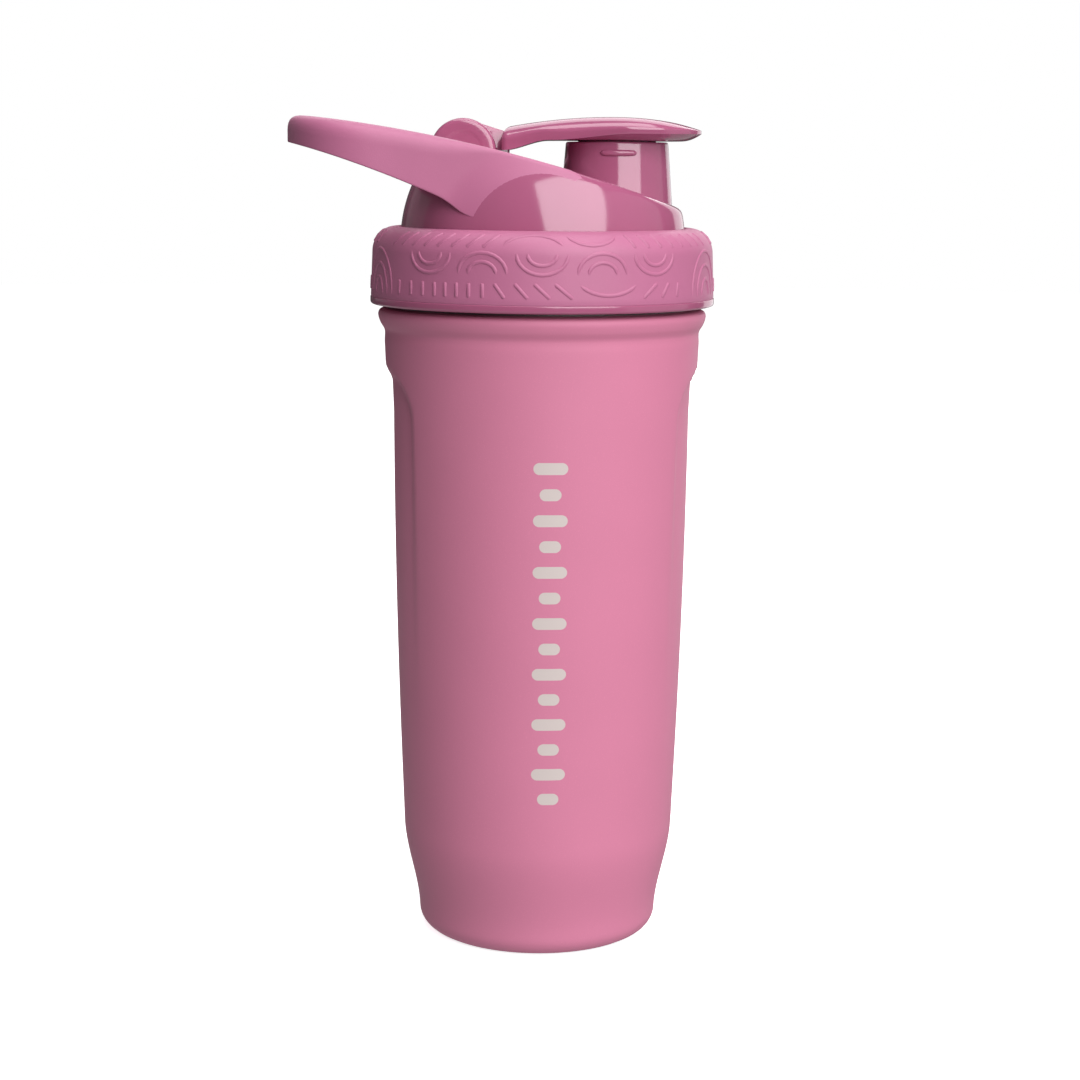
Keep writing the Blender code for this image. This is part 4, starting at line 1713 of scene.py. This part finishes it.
@dataclass
class Studio:
    """The camera, the soft lights and the pale floor."""

    target: Point3 = (0.0, 0.0, 0.1121)
    distance: float = 0.6446
    pitch: float = 9.4
    roll: float = 0.5
    lens: float = 75.67

    def light(self, name: str, azimuth: float, elevation: float, distance: float, size: Point2,
              power: float) -> None:
        """Adds one rectangular softbox that faces the bottle.

        Args:
            name: The light's name.
            azimuth: Where it stands, in degrees from the camera towards +X.
            elevation: How high it stands, in degrees.
            distance: How far off it is.
            size: Its width and height.
            power: Its power, in watts.
        """
        turn, up = math.radians(azimuth), math.radians(elevation)
        aim = Vector((0, 0, 0.13))
        way = Vector((math.sin(turn) * math.cos(up), -math.cos(turn) * math.cos(up), math.sin(up)))
        bpy.ops.object.light_add(type="AREA", location=aim + way * distance)
        lamp = bpy.context.object
        lamp.name = name
        lamp.data.shape = "RECTANGLE"
        lamp.data.size, lamp.data.size_y = size
        lamp.data.energy = power
        lamp.rotation_euler = way.to_track_quat("Z", "Y").to_euler()

    def bounce(self, width: float, power: float) -> None:
        """Adds the light that a pale table throws back up.

        Args:
            width: How wide the lit table is.
            power: The power, in watts.
        """
        bpy.ops.object.light_add(type="AREA", location=(0, 0, 0.0004), rotation=(math.pi, 0, 0))
        lamp = bpy.context.object
        lamp.name = "table_bounce"
        lamp.data.shape = "DISK"
        lamp.data.size = width
        lamp.data.energy = power
        lamp.visible_camera = False

    def make_world(self) -> None:
        """Makes a world that lights softly and shows the camera plain white."""
        world = bpy.data.worlds.new("studio_world")
        bpy.context.scene.world = world
        world.use_nodes = True
        tree = world.node_tree
        backdrop = tree.nodes["Background"]
        backdrop.inputs[0].default_value = (1, 1, 1, 1)
        backdrop.inputs[1].default_value = 1.0
        dim = tree.nodes.new("ShaderNodeBackground")
        dim.inputs[0].default_value = (1, 1, 1, 1)
        dim.inputs[1].default_value = 0.08
        path = tree.nodes.new("ShaderNodeLightPath")
        mix = tree.nodes.new("ShaderNodeMixShader")
        tree.links.new(path.outputs["Is Camera Ray"], mix.inputs[0])
        tree.links.new(dim.outputs[0], mix.inputs[1])
        tree.links.new(backdrop.outputs[0], mix.inputs[2])
        tree.links.new(mix.outputs[0], tree.nodes["World Output"].inputs[0])

    def build(self) -> None:
        """Makes the whole studio."""
        Bench.clear_selection()
        bpy.ops.mesh.primitive_circle_add(vertices=96, radius=3.5, fill_type="NGON", location=(0, 0, 0))
        floor = bpy.context.object
        floor.name = "floor"
        floor.location.z = -0.0002
        floor.data.materials.append(PaleFloor().build())
        floor.visible_diffuse = False
        floor.visible_glossy = False
        self.make_world()
        self.light("key_light", 27, 29, 1.6, (1.5, 1.6), 33.5)
        self.light("top_light", 20, 84, 1.2, (0.9, 0.9), 9)
        self.light("side_light", 84, 10, 2.2, (2.4, 2.4), 7)
        self.light("rim_light", 150, 8, 1.7, (0.9, 1.4), 5)
        self.light("back_light", 178, 38, 1.9, (1.6, 1.2), 10)
        self.light("edge_light", -130, 18, 1.9, (1.2, 1.4), 0.7)
        self.bounce(1.3, 1.6)
        self.make_camera()

    def make_camera(self) -> None:
        """Makes the camera that faces the bottle's front."""
        up = math.radians(self.pitch)
        target = Vector(self.target)
        way = Vector((0, -math.cos(up), math.sin(up)))
        bpy.ops.object.camera_add(location=target + way * self.distance)
        camera = bpy.context.object
        facing = way.to_track_quat("Z", "Y").to_matrix().to_4x4()
        spin = Matrix.Rotation(math.radians(self.roll), 4, "Z")
        camera.matrix_world = Matrix.Translation(target + way * self.distance) @ facing @ spin
        camera.data.lens = self.lens
        camera.data.clip_end = 20
        bpy.context.scene.camera = camera
        bpy.context.scene.view_settings.view_transform = "Standard"


def main() -> None:
    """Builds the shaker, sub-assembly by sub-assembly."""
    logging.basicConfig(level=logging.INFO)
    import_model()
    coat, steel = PowderCoat().build(), BareSteel().build()
    gloss, matte = GlossPlastic().build(), MattePlastic().build()
    rubber = Silicone().build()
    lid = Lid()
    Cup().build(coat, steel)
    lid.build(gloss)
    CarryLoop(lid).build(matte)
    GripRing().build(matte)
    FlipCap(lid).build(gloss, rubber)
    fittings = Fittings(lid)
    fittings.make_gasket(rubber)
    fittings.make_strainer(matte)
    fittings.make_pin(steel)
    Studio().build()


if __name__ == "__main__":
    main()
